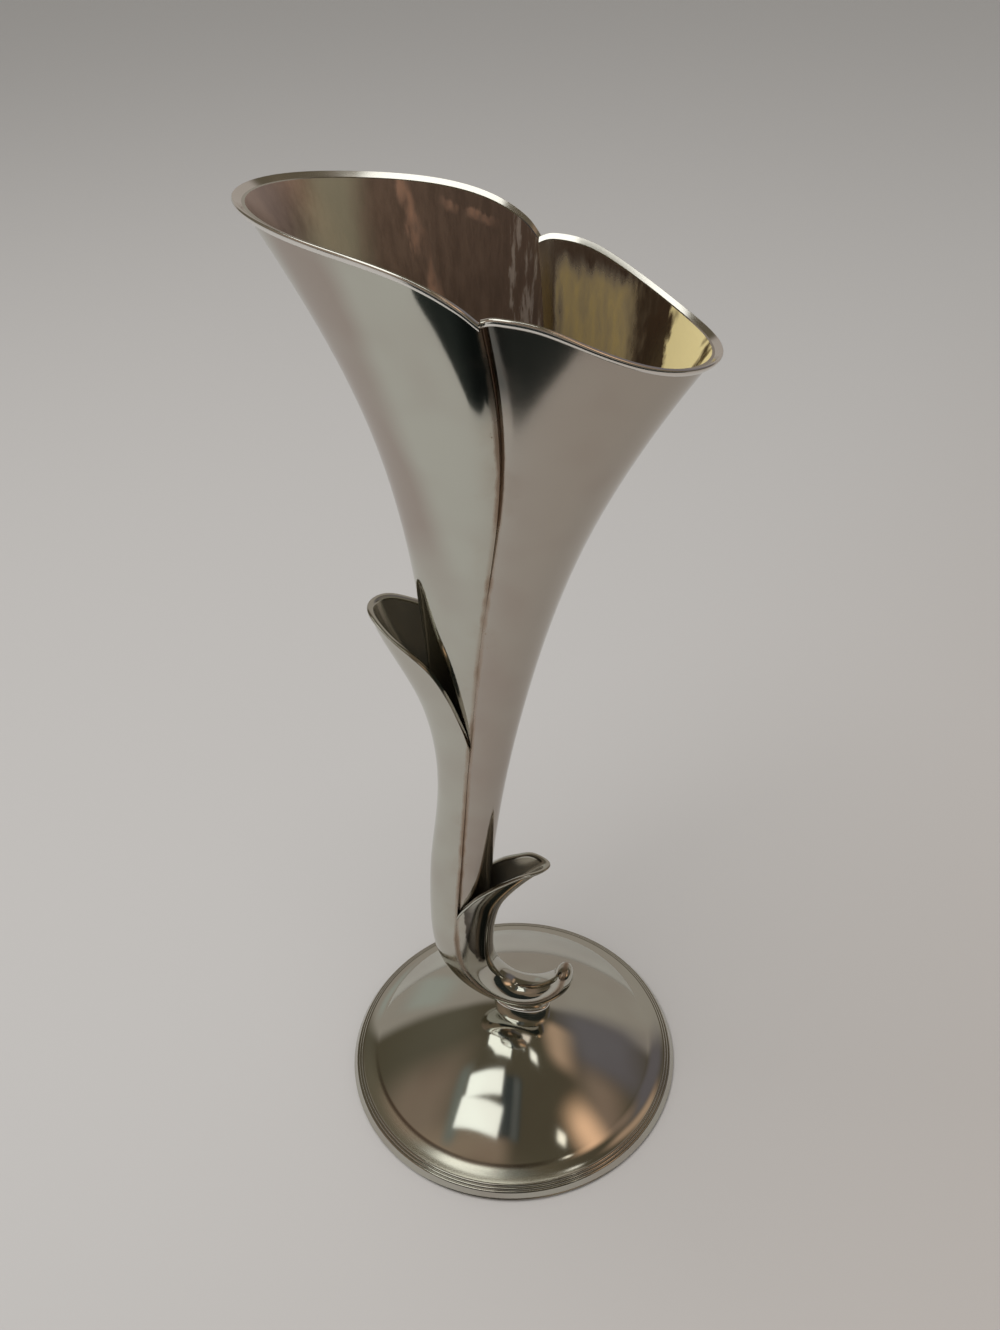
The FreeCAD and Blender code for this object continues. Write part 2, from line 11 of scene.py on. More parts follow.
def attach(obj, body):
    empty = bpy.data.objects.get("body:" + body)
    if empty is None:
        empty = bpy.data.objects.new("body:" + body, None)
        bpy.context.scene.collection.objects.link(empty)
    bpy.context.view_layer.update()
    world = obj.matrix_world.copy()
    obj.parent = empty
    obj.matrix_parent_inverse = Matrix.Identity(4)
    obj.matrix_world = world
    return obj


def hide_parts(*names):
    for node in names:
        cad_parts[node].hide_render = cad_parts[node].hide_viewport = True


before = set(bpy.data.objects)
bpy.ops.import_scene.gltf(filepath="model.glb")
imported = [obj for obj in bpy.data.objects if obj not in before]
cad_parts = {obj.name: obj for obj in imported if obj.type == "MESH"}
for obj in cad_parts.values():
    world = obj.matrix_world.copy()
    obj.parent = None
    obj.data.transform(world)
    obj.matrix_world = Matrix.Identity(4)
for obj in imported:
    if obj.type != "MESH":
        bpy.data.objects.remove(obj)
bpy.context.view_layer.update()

bl_info = {
    "name": "Trumpet vase",
    "version": (1, 0, 0),
    "blender": (4, 5, 0),
    "location": "3D View > Sidebar > Vase",
    "description": "Builds a silver trumpet vase piece by piece, with its finishes and a stage",
    "category": "Add Mesh",
}

MM = 0.001

# Heights are shares of the stem's height, places along X are shares of the mouth's reach, and
# half-depths along Y are shares of the petals' depth.

# height, crease, left outline, right outline, half-depth of each petal, and of the crease on each
PETAL_SHARES = np.array((
    (0.14, -0.270, -0.275, -0.112, 0.206, 0.202, 0.186, 0.184),
    (0.20, -0.245, -0.280, -0.093, 0.208, 0.213, 0.190, 0.195),
    (0.25, -0.217, -0.286, -0.071, 0.213, 0.232, 0.194, 0.212),
    (0.30, -0.190, -0.294, -0.039, 0.219, 0.254, 0.200, 0.232),
    (0.35, -0.163, -0.304, -0.001, 0.226, 0.268, 0.206, 0.245),
    (0.40, -0.137, -0.315, 0.043, 0.235, 0.283, 0.215, 0.256),
    (0.45, -0.106, -0.328, 0.093, 0.264, 0.306, 0.244, 0.270),
    (0.50, -0.074, -0.341, 0.149, 0.314, 0.344, 0.293, 0.293),
    (0.60, 0.001, -0.358, 0.280, 0.432, 0.444, 0.379, 0.379),
    (0.70, 0.090, -0.402, 0.452, 0.583, 0.560, 0.482, 0.482),
    (0.80, 0.161, -0.503, 0.690, 0.736, 0.679, 0.590, 0.590),
    (0.88, 0.163, -0.645, 0.930, 0.850, 0.775, 0.684, 0.684),
    (0.94, 0.134, -0.787, 1.142, 0.926, 0.850, 0.766, 0.766),
    (1.00, 0.100, -0.951, 1.368, 0.994, 0.926, 0.856, 0.856),
    (1.05, 0.072, -1.097, 1.560, 1.047, 0.988, 0.932, 0.932),
))

# height, outline, half-depth, half-depth of the crease
LEFT_LEAF_SHARES = (
    (0.16, -0.461, 0.263, 0.240),
    (0.20, -0.449, 0.264, 0.241),
    (0.25, -0.424, 0.268, 0.244),
    (0.30, -0.387, 0.273, 0.250),
    (0.35, -0.355, 0.279, 0.256),
    (0.40, -0.345, 0.288, 0.264),
    (0.43, -0.354, 0.302, 0.278),
    (0.46, -0.375, 0.330, 0.303),
    (0.50, -0.428, 0.390, 0.360),
    (0.55, -0.540, 0.460, 0.425),
    (0.58, -0.604, 0.488, 0.452),
    (0.60, -0.626, 0.497, 0.460),
    (0.62, -0.634, 0.502, 0.465),
)
RIGHT_LEAF_SHARES = (
    (0.160, -0.055, 0.264, 0.240),
    (0.183, -0.014, 0.266, 0.242),
    (0.200, 0.034, 0.268, 0.244),
    (0.230, 0.143, 0.268, 0.244),
    (0.250, 0.230, 0.264, 0.240),
    (0.268, 0.318, 0.258, 0.235),
)

# The scroll from its nose to the straight stem: the crease's place along X and its height, how far
# the outer and the inner lobe reach from it, and the half-depth of both
SCROLL_SHARES = (
    (0.335, 0.0625, 0.055, 0.056, 0.146),
    (0.266, 0.0385, 0.071, 0.071, 0.176),
    (0.160, 0.0222, 0.081, 0.082, 0.190),
    (0.036, 0.0172, 0.083, 0.093, 0.200),
    (-0.084, 0.0262, 0.107, 0.106, 0.216),
    (-0.190, 0.0492, 0.152, 0.126, 0.240),
    (-0.254, 0.0825, 0.186, 0.158, 0.256),
    (-0.272, 0.1220, 0.193, 0.182, 0.262),
)
NOSE_SHARES = (
    (0.3430, 0.0760, 0.020, 0.022, 0.056),
    (0.3425, 0.0735, 0.036, 0.038, 0.100),
    (0.3400, 0.0690, 0.047, 0.049, 0.132),
)
SCROLL_CREASE_SHARE = 0.92
STEM_LEAD_SHARES = (0.16, 0.20)

# Edges seen from the front: places along X and heights
LEFT_MOUTH_SHARES = (
    (-1.20, 1.0020), (-1.00, 1.0000), (-0.85, 0.9970), (-0.65, 0.9920), (-0.40, 0.9855),
    (-0.20, 0.9775), (-0.05, 0.9667), (0.05, 0.9550), (0.10, 0.9465), (0.135, 0.9385),
    (0.20, 0.9280),
)
RIGHT_MOUTH_SHARES = (
    (0.07, 0.9345), (0.135, 0.9385), (0.17, 0.9410), (0.22, 0.9415), (0.35, 0.9370),
    (0.50, 0.9235), (0.65, 0.9080), (0.80, 0.8945), (0.97, 0.8850), (1.15, 0.8800),
)
LEFT_LEAF_EDGE_SHARES = (
    (-0.78, 0.5900), (-0.63, 0.5965), (-0.58, 0.5945), (-0.50, 0.5860), (-0.38, 0.5725),
    (-0.32, 0.5650), (-0.244, 0.5485), (-0.20, 0.5300), (-0.17, 0.5120), (-0.15, 0.4960),
    (-0.130, 0.4780), (-0.117, 0.4620), (-0.106, 0.4420),
)
RIGHT_LEAF_EDGE_SHARES = (
    (-0.266, 0.1680), (-0.24, 0.1800), (-0.20, 0.1925), (-0.15, 0.2065), (-0.10, 0.2175),
    (-0.04, 0.2285), (0.04, 0.2400), (0.12, 0.2500), (0.20, 0.2535), (0.26, 0.2555),
    (0.40, 0.2570),
)
LEFT_PETAL_FOOT_SHARE = 0.21
RIGHT_PETAL_FOOT_SHARE = 0.15

# The groove along the crease, the slant of the mouth wire's top, how square the wires are, and the
# reeds of the foot
GROOVE_WIDTH_SHARE = 0.095
GROOVE_DEPTH_SHARE = 0.32
LIP_SLANT = 1.28
LIP_START_SHARE = 0.35
ROUND_POWER = 0.72
REED_COUNT = 3

# Up to this station of the scroll, counted from the nose, the leaves are solid
SOLID_STATION = 5

# How fine the meshes are: rows up a piece, columns from crease to crease, points round a wire
PETAL_ROWS, PETAL_COLUMNS, PETAL_ROW_SHIFT = 190, 104, 0.12
LEAF_ROWS, LEAF_COLUMNS = (230, 150), 72
RIM_COLUMNS, LEAF_EDGE_COLUMNS, WIRE_POINTS = 150, 110, 28
FOOT_STEPS, COLLAR_STEPS = 288, 96
EDGE_SEARCH_STEPS = 44
MERGE_GAP = 0.002 * MM
SMOOTH_ANGLE = math.radians(40)


# Sizes and colours that a user may change

def length(name, value, words):
    """A length property, in metres."""
    return bpy.props.FloatProperty(
        name=name, description=words, default=value, unit="LENGTH", precision=5)


def colour(name, value, words):
    """A colour property, scene linear."""
    return bpy.props.FloatVectorProperty(
        name=name, description=words, default=value, subtype="COLOR", size=3, min=0, max=1)


class VaseSizes(bpy.types.PropertyGroup):
    """Sizes of the trumpet, the leaves and the scroll."""
    stem_height: length("Stem height", 151.5 * MM, "Scroll's underside to the mouth's top")
    mouth_reach: length("Mouth reach", 31.6 * MM, "Axis to the tip of the high petal")
    petal_depth: length("Petal depth", 17.2 * MM, "Half of the mouth's width across its middle")
    scroll_rest: length("Scroll rest", 17.5 * MM, "Height of the scroll's underside")
    petal_wall: length("Petal wall", 0.6 * MM, "Sheet of the petals")
    leaf_wall: length("Leaf wall", 0.75 * MM, "Sheet of the leaves")
    seam_gap: length("Seam gap", 0.02 * MM, "Solder line in the crease")
    rim_height: length("Rim height", 1.1 * MM, "Mouth wire, up and down")
    rim_proud: length("Rim proud", 0.8 * MM, "How far the mouth wire stands out")
    edge_height: length("Edge height", 0.9 * MM, "Leaf edge, along the sheet")
    edge_proud: length("Edge proud", 0.3 * MM, "How far a leaf's edge stands out")


class FootSizes(bpy.types.PropertyGroup):
    """Sizes of the foot."""
    foot_radius: length("Foot radius", 32.3 * MM, "Outside of the foot's wire")
    pad_lift: length("Pad lift", 0.2 * MM, "How far the baize stands below the foot's wire")
    edge_round: length("Edge round", 0.4 * MM, "Rounding under the wire's upright edge")
    band_height: length("Band height", 1.5 * MM, "Top of the wire's plain edge")
    band_lean: length("Band lean", 0.6 * MM, "How far that edge leans in")
    band_width: length("Band width", 2.8 * MM, "Foot's wire, from its outside to its bore")
    bead_round: length("Reed radius", 0.36 * MM, "Radius of one reed")
    reed_zone: length("Reed zone", 2.1 * MM, "From the foot's outside to the dome")
    ledge_height: length("Ledge height", 1.4 * MM, "Ledge on which the dome's edge sits")
    rim_top: length("Wire top", 2.4 * MM, "Top of the foot's wire, where the dome leaves it")
    dome_height: length("Dome height", 14.5 * MM, "Top of the dome")
    dome_wall: length("Dome wall", 0.7 * MM, "Sheet of the dome")
    cavetto_width: length("Cavetto width", 3.2 * MM, "Hollow moulding, in to the flank")
    cavetto_height: length("Cavetto height", 3.9 * MM, "Height at which the flank begins")
    cavetto_round: length("Cavetto radius", 9.0 * MM, "Radius of the hollow moulding")
    flank_round: length("Flank radius", 75.0 * MM, "Radius of the dome's flank")
    cap_reach: length("Crown reach", 9.0 * MM, "Where the flank passes into the crown")
    cap_round: length("Crown radius", 27.5 * MM, "Radius of the dome's crown")
    saddle_length: length("Collar length", 11.0 * MM, "Oval collar, along X")
    saddle_width: length("Collar width", 6.2 * MM, "Oval collar, along Y")
    saddle_offset: length("Collar offset", 2.2 * MM, "Middle of the collar from the axis")
    saddle_middle: length("Collar middle", 15.4 * MM, "Height of the collar's middle")
    saddle_height: length("Collar height", 4.6 * MM, "Collar, from inside the dome to the scroll")
    saddle_soft: length("Collar rounding", 0.5 * MM, "Rounding of the collar's edges")


class VaseFinish(bpy.types.PropertyGroup):
    """Colours of the finishes."""
    silver: colour("Silver", (0.58, 0.585, 0.52), "Polished silver")
    tarnish: colour("Tarnish", (0.38, 0.27, 0.19), "Brown tarnish in creases and pits")
    film: colour("Film", (0.45, 0.395, 0.35), "Thin warm film on the silver")
    umber: colour("Umber", (0.25, 0.185, 0.145), "Brown film inside the high petal")
    copper: colour("Copper", (0.46, 0.25, 0.155), "Copper showing through inside the high petal")
    straw: colour("Straw", (0.46, 0.335, 0.115), "Yellow film inside the low petal")
    wire: colour("Wire", (0.86, 0.80, 0.73), "Polished wire along the edges")
    brass: colour("Brass", (0.58, 0.42, 0.17), "Stud, washer and nut")
    pitch: colour("Pitch", (0.030, 0.024, 0.020), "Filling of the foot")
    iron: colour("Tinned iron", (0.46, 0.46, 0.44), "Closing plate")
    baize: colour("Baize", (0.030, 0.095, 0.045), "Pad under the foot")


class StageSettings(bpy.types.PropertyGroup):
    """Floor, background and camera."""
    floor: colour("Floor", (0.54, 0.52, 0.505), "Pale table sheet")
    # Painted shade: the sheet's darker right side stands in for the lamp's falloff
    floor_painted_shade: colour("Floor right", (0.46, 0.41, 0.375), "Table sheet on its darker side")
    far: colour("Far", (0.39, 0.39, 0.38), "Background far behind")
    camera_place: bpy.props.FloatVectorProperty(
        name="Camera place", description="Where the lens is", subtype="TRANSLATION", unit="LENGTH",
        default=(41.461 * MM, -140.559 * MM, 211.226 * MM))
    camera_turn: bpy.props.FloatProperty(
        name="Camera turn", description="Heading to the left of +Y", subtype="ANGLE",
        default=math.radians(16.201))
    camera_dip: bpy.props.FloatProperty(
        name="Camera dip", description="How far the view points down", subtype="ANGLE",
        default=math.radians(37.488))
    camera_roll: bpy.props.FloatProperty(
        name="Camera roll", description="Tilt of the frame", subtype="ANGLE",
        default=math.radians(2.439))
    lens: bpy.props.FloatProperty(
        name="Lens", description="Focal length in mm on a 36 mm frame", default=43.2)


# Shapes from the tables

def smooth(places, values):
    """A smooth curve through values at rising places, as a function of an array of places."""
    x, y = np.asarray(places, float), np.asarray(values, float)
    count, steps = len(x), np.diff(x)
    shape = (-1,) + (1,) * (y.ndim - 1)
    slopes = np.diff(y, axis=0) / steps.reshape(shape)
    system, right = np.eye(count), np.zeros_like(y)
    for i in range(1, count - 1):
        system[i, i - 1:i + 2] = steps[i - 1], 2 * (steps[i - 1] + steps[i]), steps[i]
        right[i] = 6 * (slopes[i] - slopes[i - 1])
    bend = np.linalg.solve(system, right)

    def at(place):
        place = np.asarray(place, float)
        i = np.clip(np.searchsorted(x, place, side="right") - 1, 0, count - 2)
        wide = place.shape + (1,) * (y.ndim - 1)
        h, p = steps[i].reshape(wide), place.reshape(wide)
        before, after = (x[i + 1].reshape(wide) - p) / h, (p - x[i].reshape(wide)) / h
        curve = (before ** 3 - before) * bend[i] + (after ** 3 - after) * bend[i + 1]
        return before * y[i] + after * y[i + 1] + curve * h ** 2 / 6

    return at


def turns(count):
    """Places along half a turn of a lobe, crowded towards the crease at both ends."""
    return (1 - np.cos(np.pi * np.arange(count + 1) / count)) / 2


class Lobe:
    """A half-oval surface on one side of the crease. Its stations are the crease's place, the way
    in which the lobe bulges, its length that way, its half-depth and the crease's half-depth."""

    def __init__(self, places, stations):
        self.places = np.asarray(places, float)
        self.stations = smooth(self.places, stations)

    def point(self, place, turn, inset):
        """The surface at a place along the stem and a share of the half turn, drawn in by inset."""
        sizes = bpy.context.scene.vase_sizes
        place, turn, inset = np.broadcast_arrays(
            np.asarray(place, float), np.asarray(turn, float), np.asarray(inset, float))
        cx, cz, wx, wz, reach, depth, crease = np.moveaxis(self.stations(place), -1, 0)
        norm = np.hypot(wx, wz)
        far, near = np.sin(np.pi * turn), np.cos(np.pi * turn)
        side = np.where(turn < 0.5, 1.0, -1.0)
        groove = GROOVE_DEPTH_SHARE * (depth - crease)
        groove = groove * np.exp(-far * reach / (GROOVE_WIDTH_SHARE * depth))
        out = sizes.seam_gap / 2 + (reach - inset) * far
        wide = (depth - inset) * near - side * groove
        return np.stack([cx + wx / norm * out, -wide, cz + wz / norm * out], -1)

    def place_under(self, edge, turn, inset, drop, low):
        """The place along the stem at which the surface comes up to an edge seen from the front."""
        turn, inset, drop = np.broadcast_arrays(
            np.asarray(turn, float), np.asarray(inset, float), np.asarray(drop, float))
        under = np.full(turn.shape, low, float)
        over = np.full(turn.shape, self.places[-1], float)
        for _ in range(EDGE_SEARCH_STEPS):
            middle = (under + over) / 2
            point = self.point(middle, turn, inset)
            above = point[..., 2] > edge(point[..., 0]) - drop
            over, under = np.where(above, middle, over), np.where(above, under, middle)
        return (under + over) / 2


def height(share):
    """A height above the table, from a share."""
    sizes = bpy.context.scene.vase_sizes
    return sizes.scroll_rest + np.asarray(share, float) * sizes.stem_height


def across(share):
    """A place along X, from a share."""
    return np.asarray(share, float) * bpy.context.scene.vase_sizes.mouth_reach


def deep(share):
    """A half-depth along Y, from a share."""
    return np.asarray(share, float) * bpy.context.scene.vase_sizes.petal_depth


def crease_at(share):
    """Place of the crease along X, still a share."""
    return smooth(PETAL_SHARES[:, 0], PETAL_SHARES[:, 1])(share)


def edge_line(rows):
    """An edge seen from the front, as height over place along X."""
    rows = np.array(rows)
    return smooth(across(rows[:, 0]), height(rows[:, 1]))


def petal_lobe(side):
    """The left (0) or right (1) petal."""
    rows = PETAL_SHARES
    reach = np.abs(across(rows[:, 2 + side] - rows[:, 1]))
    way = np.full(len(rows), (-1.0, 1.0)[side])
    stations = np.stack([across(rows[:, 1]), height(rows[:, 0]), way, 0 * way, reach,
                         deep(rows[:, 4 + side]), deep(rows[:, 6 + side])], -1)
    return Lobe(rows[:, 0], stations)


def leaf_lobe(side):
    """The left (0) or right (1) leaf with its half of the nose, and the place at which the scroll
    ends and the stem begins."""
    rows = NOSE_SHARES + SCROLL_SHARES
    spots = [(across(row[0]), height(row[1])) for row in rows]
    lead = [(across(crease_at(share)), height(share)) for share in STEM_LEAD_SHARES]
    line = np.array(spots + lead)
    along = np.concatenate([[0], np.cumsum(np.hypot(*np.diff(line, axis=0).T))])
    path = smooth(along, line)
    tiny = along[1] / 50  # far enough to tell the line's direction
    ahead = path(along[:len(rows)] + tiny) - path(along[:len(rows)] - tiny)
    ahead /= np.hypot(ahead[:, 0], ahead[:, 1])[:, None]
    stations = []
    for (x, z), (ax, az), row in zip(spots, ahead, rows):
        way = (-az, ax) if side == 0 else (az, -ax)
        stations.append((x, z, *way, across(row[2 + side]), deep(row[4]),
                         deep(row[4] * SCROLL_CREASE_SHARE)))
    for share, reach, depth, crease in (LEFT_LEAF_SHARES, RIGHT_LEAF_SHARES)[side]:
        middle = crease_at(share)
        stations.append((across(middle), height(share), (-1, 1)[side], 0,
                         abs(across(reach - middle)), deep(depth), deep(crease)))
    stations = np.array(stations, float)
    tips = stations[:, :2] + stations[:, 2:4] * stations[:, 4:5] / 2
    places = np.concatenate([[0], np.cumsum(np.hypot(*np.diff(tips, axis=0).T))])
    return Lobe(places, stations), places[len(rows)]


# Meshes

def start_clean():
    """Nothing selected, object mode."""
    if bpy.context.mode != "OBJECT":
        bpy.ops.object.mode_set(mode="OBJECT")
    bpy.ops.object.select_all(action="DESELECT")


def activate(piece):
    """Makes a piece the only one selected, and the active one."""
    start_clean()
    piece.select_set(True)
    bpy.context.view_layer.objects.active = piece


def grid_piece(name, sheets, caps=()):
    """A piece from grids of points, each with its finish's number. A sheet is rows of points joined
    as quads, a cap is a ring of points closed to its middle. Doubles are merged."""
    points, faces, marks = [], [], []
    for sheet, mark in sheets:
        rows, columns = sheet.shape[:2]
        base = sum(len(part) for part in points)
        points.append(sheet.reshape(-1, 3))
        for r in range(rows - 1):
            for c in range(columns - 1):
                a = base + r * columns + c
                faces.append((a, a + 1, a + columns + 1, a + columns))
                marks.append(mark)
    for ring, mark in caps:
        base = sum(len(part) for part in points)
        points.append(np.vstack([ring, ring.mean(axis=0)]))
        for c in range(len(ring)):
            faces.append((base + c, base + (c + 1) % len(ring), base + len(ring)))
            marks.append(mark)
    mesh = bpy.data.meshes.new(name)
    mesh.from_pydata(np.vstack(points).tolist(), [], faces)
    mesh.polygons.foreach_set("material_index", marks)
    piece = bpy.data.objects.new(name, mesh)
    bpy.context.collection.objects.link(piece)
    tidy(piece)
    return piece


def tidy(piece):
    """Merges doubles and turns all faces outwards."""
    activate(piece)
    bpy.ops.object.mode_set(mode="EDIT")
    bpy.ops.mesh.select_all(action="SELECT")
    bpy.ops.mesh.remove_doubles(threshold=MERGE_GAP)
    bpy.ops.mesh.normals_make_consistent(inside=False)
    bpy.ops.object.mode_set(mode="OBJECT")
    bpy.ops.object.shade_smooth_by_angle(angle=SMOOTH_ANGLE)


def finished(piece, body_slot, *nodes, materials):
    """Gives a piece its finishes, puts it on the body and hides the nodes it stands for."""
    for finish in materials:
        piece.data.materials.append(finish)
    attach(piece, "root")
    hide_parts(*nodes)


def crease_distance(piece, line):
    """Stores, on each point, how many mm it lies from the crease's line seen along Y."""
    points = np.array([vertex.co for vertex in piece.data.vertices])[:, [0, 2]]
    gaps = np.full(len(points), 1.0)
    for a, b in zip(line, line[1:]):
        way = b - a
        along = np.clip(((points - a) @ way) / (way @ way), 0, 1)
        gaps = np.minimum(gaps, np.linalg.norm(points - a - along[:, None] * way, axis=1))
    piece.data.attributes.new("crease", "FLOAT", "POINT").data.foreach_set("value", gaps / MM)


def walls(lobe, start, low, edge, wall, drop, turn, share):
    """The outside and the inside of a sheet, from a place along the stem up to an edge above low,
    and the strips that close it at the edge and along the crease."""
    grids = []
    for inset in (0.0, wall):
        top = lobe.place_under(edge, turn, inset, drop, low)
        grids.append(lobe.point(start + (top - start) * share, turn, inset))
    outside, inside = grids
    strips = [np.stack([outside[-1], inside[-1]]), np.stack([outside[:, 0], inside[:, 0]]),
              np.stack([outside[:, -1], inside[:, -1]])]
    return outside, inside, strips


def petal_piece(name, lobe, low, edge, wall, drop):
    """A petal: outside, inside, and the closing strips along its foot, top and crease."""
    turn = turns(PETAL_COLUMNS)[None, :]
    share = np.linspace(0, 1, PETAL_ROWS + 1)[:, None]
    share = share + PETAL_ROW_SHIFT * np.sin(2 * np.pi * share) / (2 * np.pi)
    outside, inside, strips = walls(lobe, low, low, edge, wall, drop, turn, share)
    strips = [np.stack([outside[0], inside[0]])] + strips
    return grid_piece(name, [(outside, 0), (inside, 1)] + [(strip, 0) for strip in strips])


def leaf_piece(name, lobe, low, edge, wall, drop, rows):
    """A leaf: a solid half of the nose up to the solid station, and from there outside, inside and
    closing strips. The nose's flat side and the step where the hollow begins are closed too."""
    turn = turns(LEAF_COLUMNS)[None, :]
    solid = lobe.places[SOLID_STATION]
    nose_rows = round(rows * solid / lobe.places[-1])
    nose = lobe.point(solid * np.linspace(0, 1, nose_rows + 1)[:, None], turn, 0.0)
    share = np.linspace(0, 1, rows - nose_rows + 1)[:, None]
    outside, inside, strips = walls(lobe, solid, low, edge, wall, drop, turn, share)
    strips = [np.stack([nose[:, 0], nose[:, -1]])] + strips
    step = np.vstack([outside[0, :1], inside[0], outside[0, -1:]])
    sheets = [(nose, 0), (outside, 0), (inside, 1)] + [(strip, 0) for strip in strips]
    return grid_piece(name, sheets, caps=[(nose[0], 0), (step, 1)])


def bead_piece(name, lobe, low, edge, wall, tall, proud, columns, slant=0.0):
    """The rounded wire or thickened edge along the top of a sheet. With a slant its top falls away
    to the inside, as a lip does."""
    turn = turns(columns)[:, None]
    angle = np.linspace(0, 2 * np.pi, WIRE_POINTS, endpoint=False)[None, :]
    sway = np.sign(np.cos(angle)) * np.abs(np.cos(angle)) ** ROUND_POWER
    rise = np.sign(np.sin(angle)) * np.abs(np.sin(angle)) ** ROUND_POWER
    if slant:
        below = 1 - slant * (sway + LIP_START_SHARE) < -np.abs(rise)
        sway = np.minimum(sway, sway[below].min())
        rise = np.minimum(rise, 1 - slant * (sway + LIP_START_SHARE))
    inset = (wall - proud) / 2 + sway * (wall + proud) / 2
    drop = tall / 2 - rise * tall / 2
    place = lobe.place_under(edge, turn, inset, drop, low)
    points = lobe.point(place, turn, inset)
    loops = np.concatenate([points, points[:, :1]], axis=1)
    return grid_piece(name, [(loops, 0)], caps=[(points[0], 0), (points[-1], 0)])


# The foot's outlines

def arc(start, end, radius, side, count):
    """Points along an arc between two places, bulging to the left (1) or the right (-1)."""
    start, end = np.array(start, float), np.array(end, float)
    chord = end - start
    span = np.hypot(*chord)
    square = np.array([-chord[1], chord[0]]) / span * side
    rise = radius - math.sqrt(radius ** 2 - (span / 2) ** 2)
    centre = (start + end) / 2 + square * (rise - radius)
    first = math.atan2(*(start - centre)[::-1])
    sweep = -side * 2 * math.asin(span / 2 / radius)
    angles = first + sweep * np.arange(1, count + 1) / count
    return [tuple(centre + radius * np.array([math.cos(a), math.sin(a)])) for a in angles]


def spun(name, outline):
    """A closed outline of (radius, height) pairs, spun about the vase's axis. A side that lies on
    the axis is left out."""
    start_clean()
    mesh = bpy.data.meshes.new(name)
    corners = [(x, 0, z) for x, z in outline]
    edges = [(i, (i + 1) % len(corners)) for i in range(len(corners))]
    axis = [i for i, (x, z) in enumerate(outline) if abs(x) < 1e-9]
    if len(axis) == 2:
        edges = [edge for edge in edges if set(edge) != set(axis)]
    mesh.from_pydata(corners, edges, [])
    piece = bpy.data.objects.new(name, mesh)
    bpy.context.collection.objects.link(piece)
    activate(piece)
    bpy.ops.object.mode_set(mode="EDIT")
    bpy.ops.mesh.select_all(action="SELECT")
    bpy.ops.mesh.spin(steps=FOOT_STEPS, angle=2 * math.pi, center=(0, 0, 0), axis=(0, 0, 1))
    bpy.ops.object.mode_set(mode="OBJECT")
    tidy(piece)
    return piece


# Finishes

class Value:
    """A shader socket in an expression. What is worked out with it adds Math nodes."""

    def __init__(self, finish, socket):
        self.finish = finish
        self.socket = socket

    def _with(self, operation, other, swap=False):
        return self.finish.calc(operation, *((other, self) if swap else (self, other)))


for sign, operation in (("add", "ADD"), ("sub", "SUBTRACT"), ("mul", "MULTIPLY"),
                        ("truediv", "DIVIDE"), ("pow", "POWER")):
    setattr(Value, f"__{sign}__", partialmethod(Value._with, operation))
    setattr(Value, f"__r{sign}__", partialmethod(Value._with, operation, swap=True))


class Finish:
    """A material under construction."""

    def __init__(self, name):
        self.material = bpy.data.materials.new(name)
        self.material.use_nodes = True
        self.tree = self.material.node_tree
        self.tree.nodes.clear()
        self.output = self.tree.nodes.new("ShaderNodeOutputMaterial")

    def node(self, kind, settings, *values, out=0, **named):
        """Adds a node: its settings first, then its sockets by order or by name. None leaves a
        socket as it is."""
        node = self.tree.nodes.new(kind)
        for key, value in settings.items():
            setattr(node, key, value)
        by_name = [(key.replace("_", " "), value) for key, value in named.items()]
        for key, value in list(enumerate(values)) + by_name:
            socket = node.inputs[key]
            if isinstance(value, Value):
                self.tree.links.new(value.socket, socket)
            elif isinstance(value, (int, float)):
                socket.default_value = value
            elif value is not None:
                opaque = (1.0,) if socket.type == "RGBA" else ()
                socket.default_value = (*value, *opaque)
        return Value(self, node.outputs[out])

    def calc(self, operation, *values):
        """A Math node."""
        return self.node("ShaderNodeMath", {"operation": operation}, *values)

    def place(self, scale=(1, 1, 1), turn=(0, 0, 0)):
        """Object coordinates, turned and scaled."""
        spot = self.node("ShaderNodeTexCoord", {}, out="Object")
        return self.node("ShaderNodeMapping", {}, Vector=spot, Rotation=turn, Scale=scale)

    def noise(self, where, scale, detail=3.0, rough=0.55):
        """Noise between 0 and 1."""
        return self.node("ShaderNodeTexNoise", {}, Vector=where, Scale=scale, Detail=detail,
                         Roughness=rough)

    def ramp(self, value, low, high):
        """0 below low, 1 above high, smooth between."""
        smoothly = {"interpolation_type": "SMOOTHSTEP"}
        return self.node("ShaderNodeMapRange", smoothly, value, low, high, 0.0, 1.0)

    def within(self, value, low, low_end, high, high_end):
        """1 between low_end and high, 0 below low and above high_end."""
        return self.ramp(value, low, low_end) * (1 - self.ramp(value, high, high_end))

    def blend(self, factor, first, second):
        """A colour between two colours, whose sockets are the seventh and the eighth."""
        colours = {"data_type": "RGBA"}
        return self.node("ShaderNodeMix", colours, factor, *[None] * 5, first, second, out=2)

    def split(self, vector):
        """The three parts of a vector."""
        parts = self.node("ShaderNodeSeparateXYZ", {}, vector).socket.node
        return [Value(self, output) for output in parts.outputs]

    def stored(self, name):
        """A number stored on the piece's points."""
        return self.node("ShaderNodeAttribute", {"attribute_name": name}, out="Fac")

    def bump(self, heights, distance):
        """A Bump node for the Normal socket."""
        return self.node("ShaderNodeBump", {}, Height=heights, Distance=distance, Strength=1.0)

    def close(self, shader):
        """Links a shader to the output."""
        self.tree.links.new(shader.socket, self.output.inputs["Surface"])
        return self.material

    def surface(self, **sockets):
        """The Principled shader, to the output."""
        return self.close(self.node("ShaderNodeBsdfPrincipled", {}, **sockets))

    def glow(self, tone):
        """An even glow, to the output."""
        return self.close(self.node("ShaderNodeEmission", {}, Color=tone, Strength=1.0))


# Places and widths in the masks are metres on the vase, but for the distance from the crease, in mm

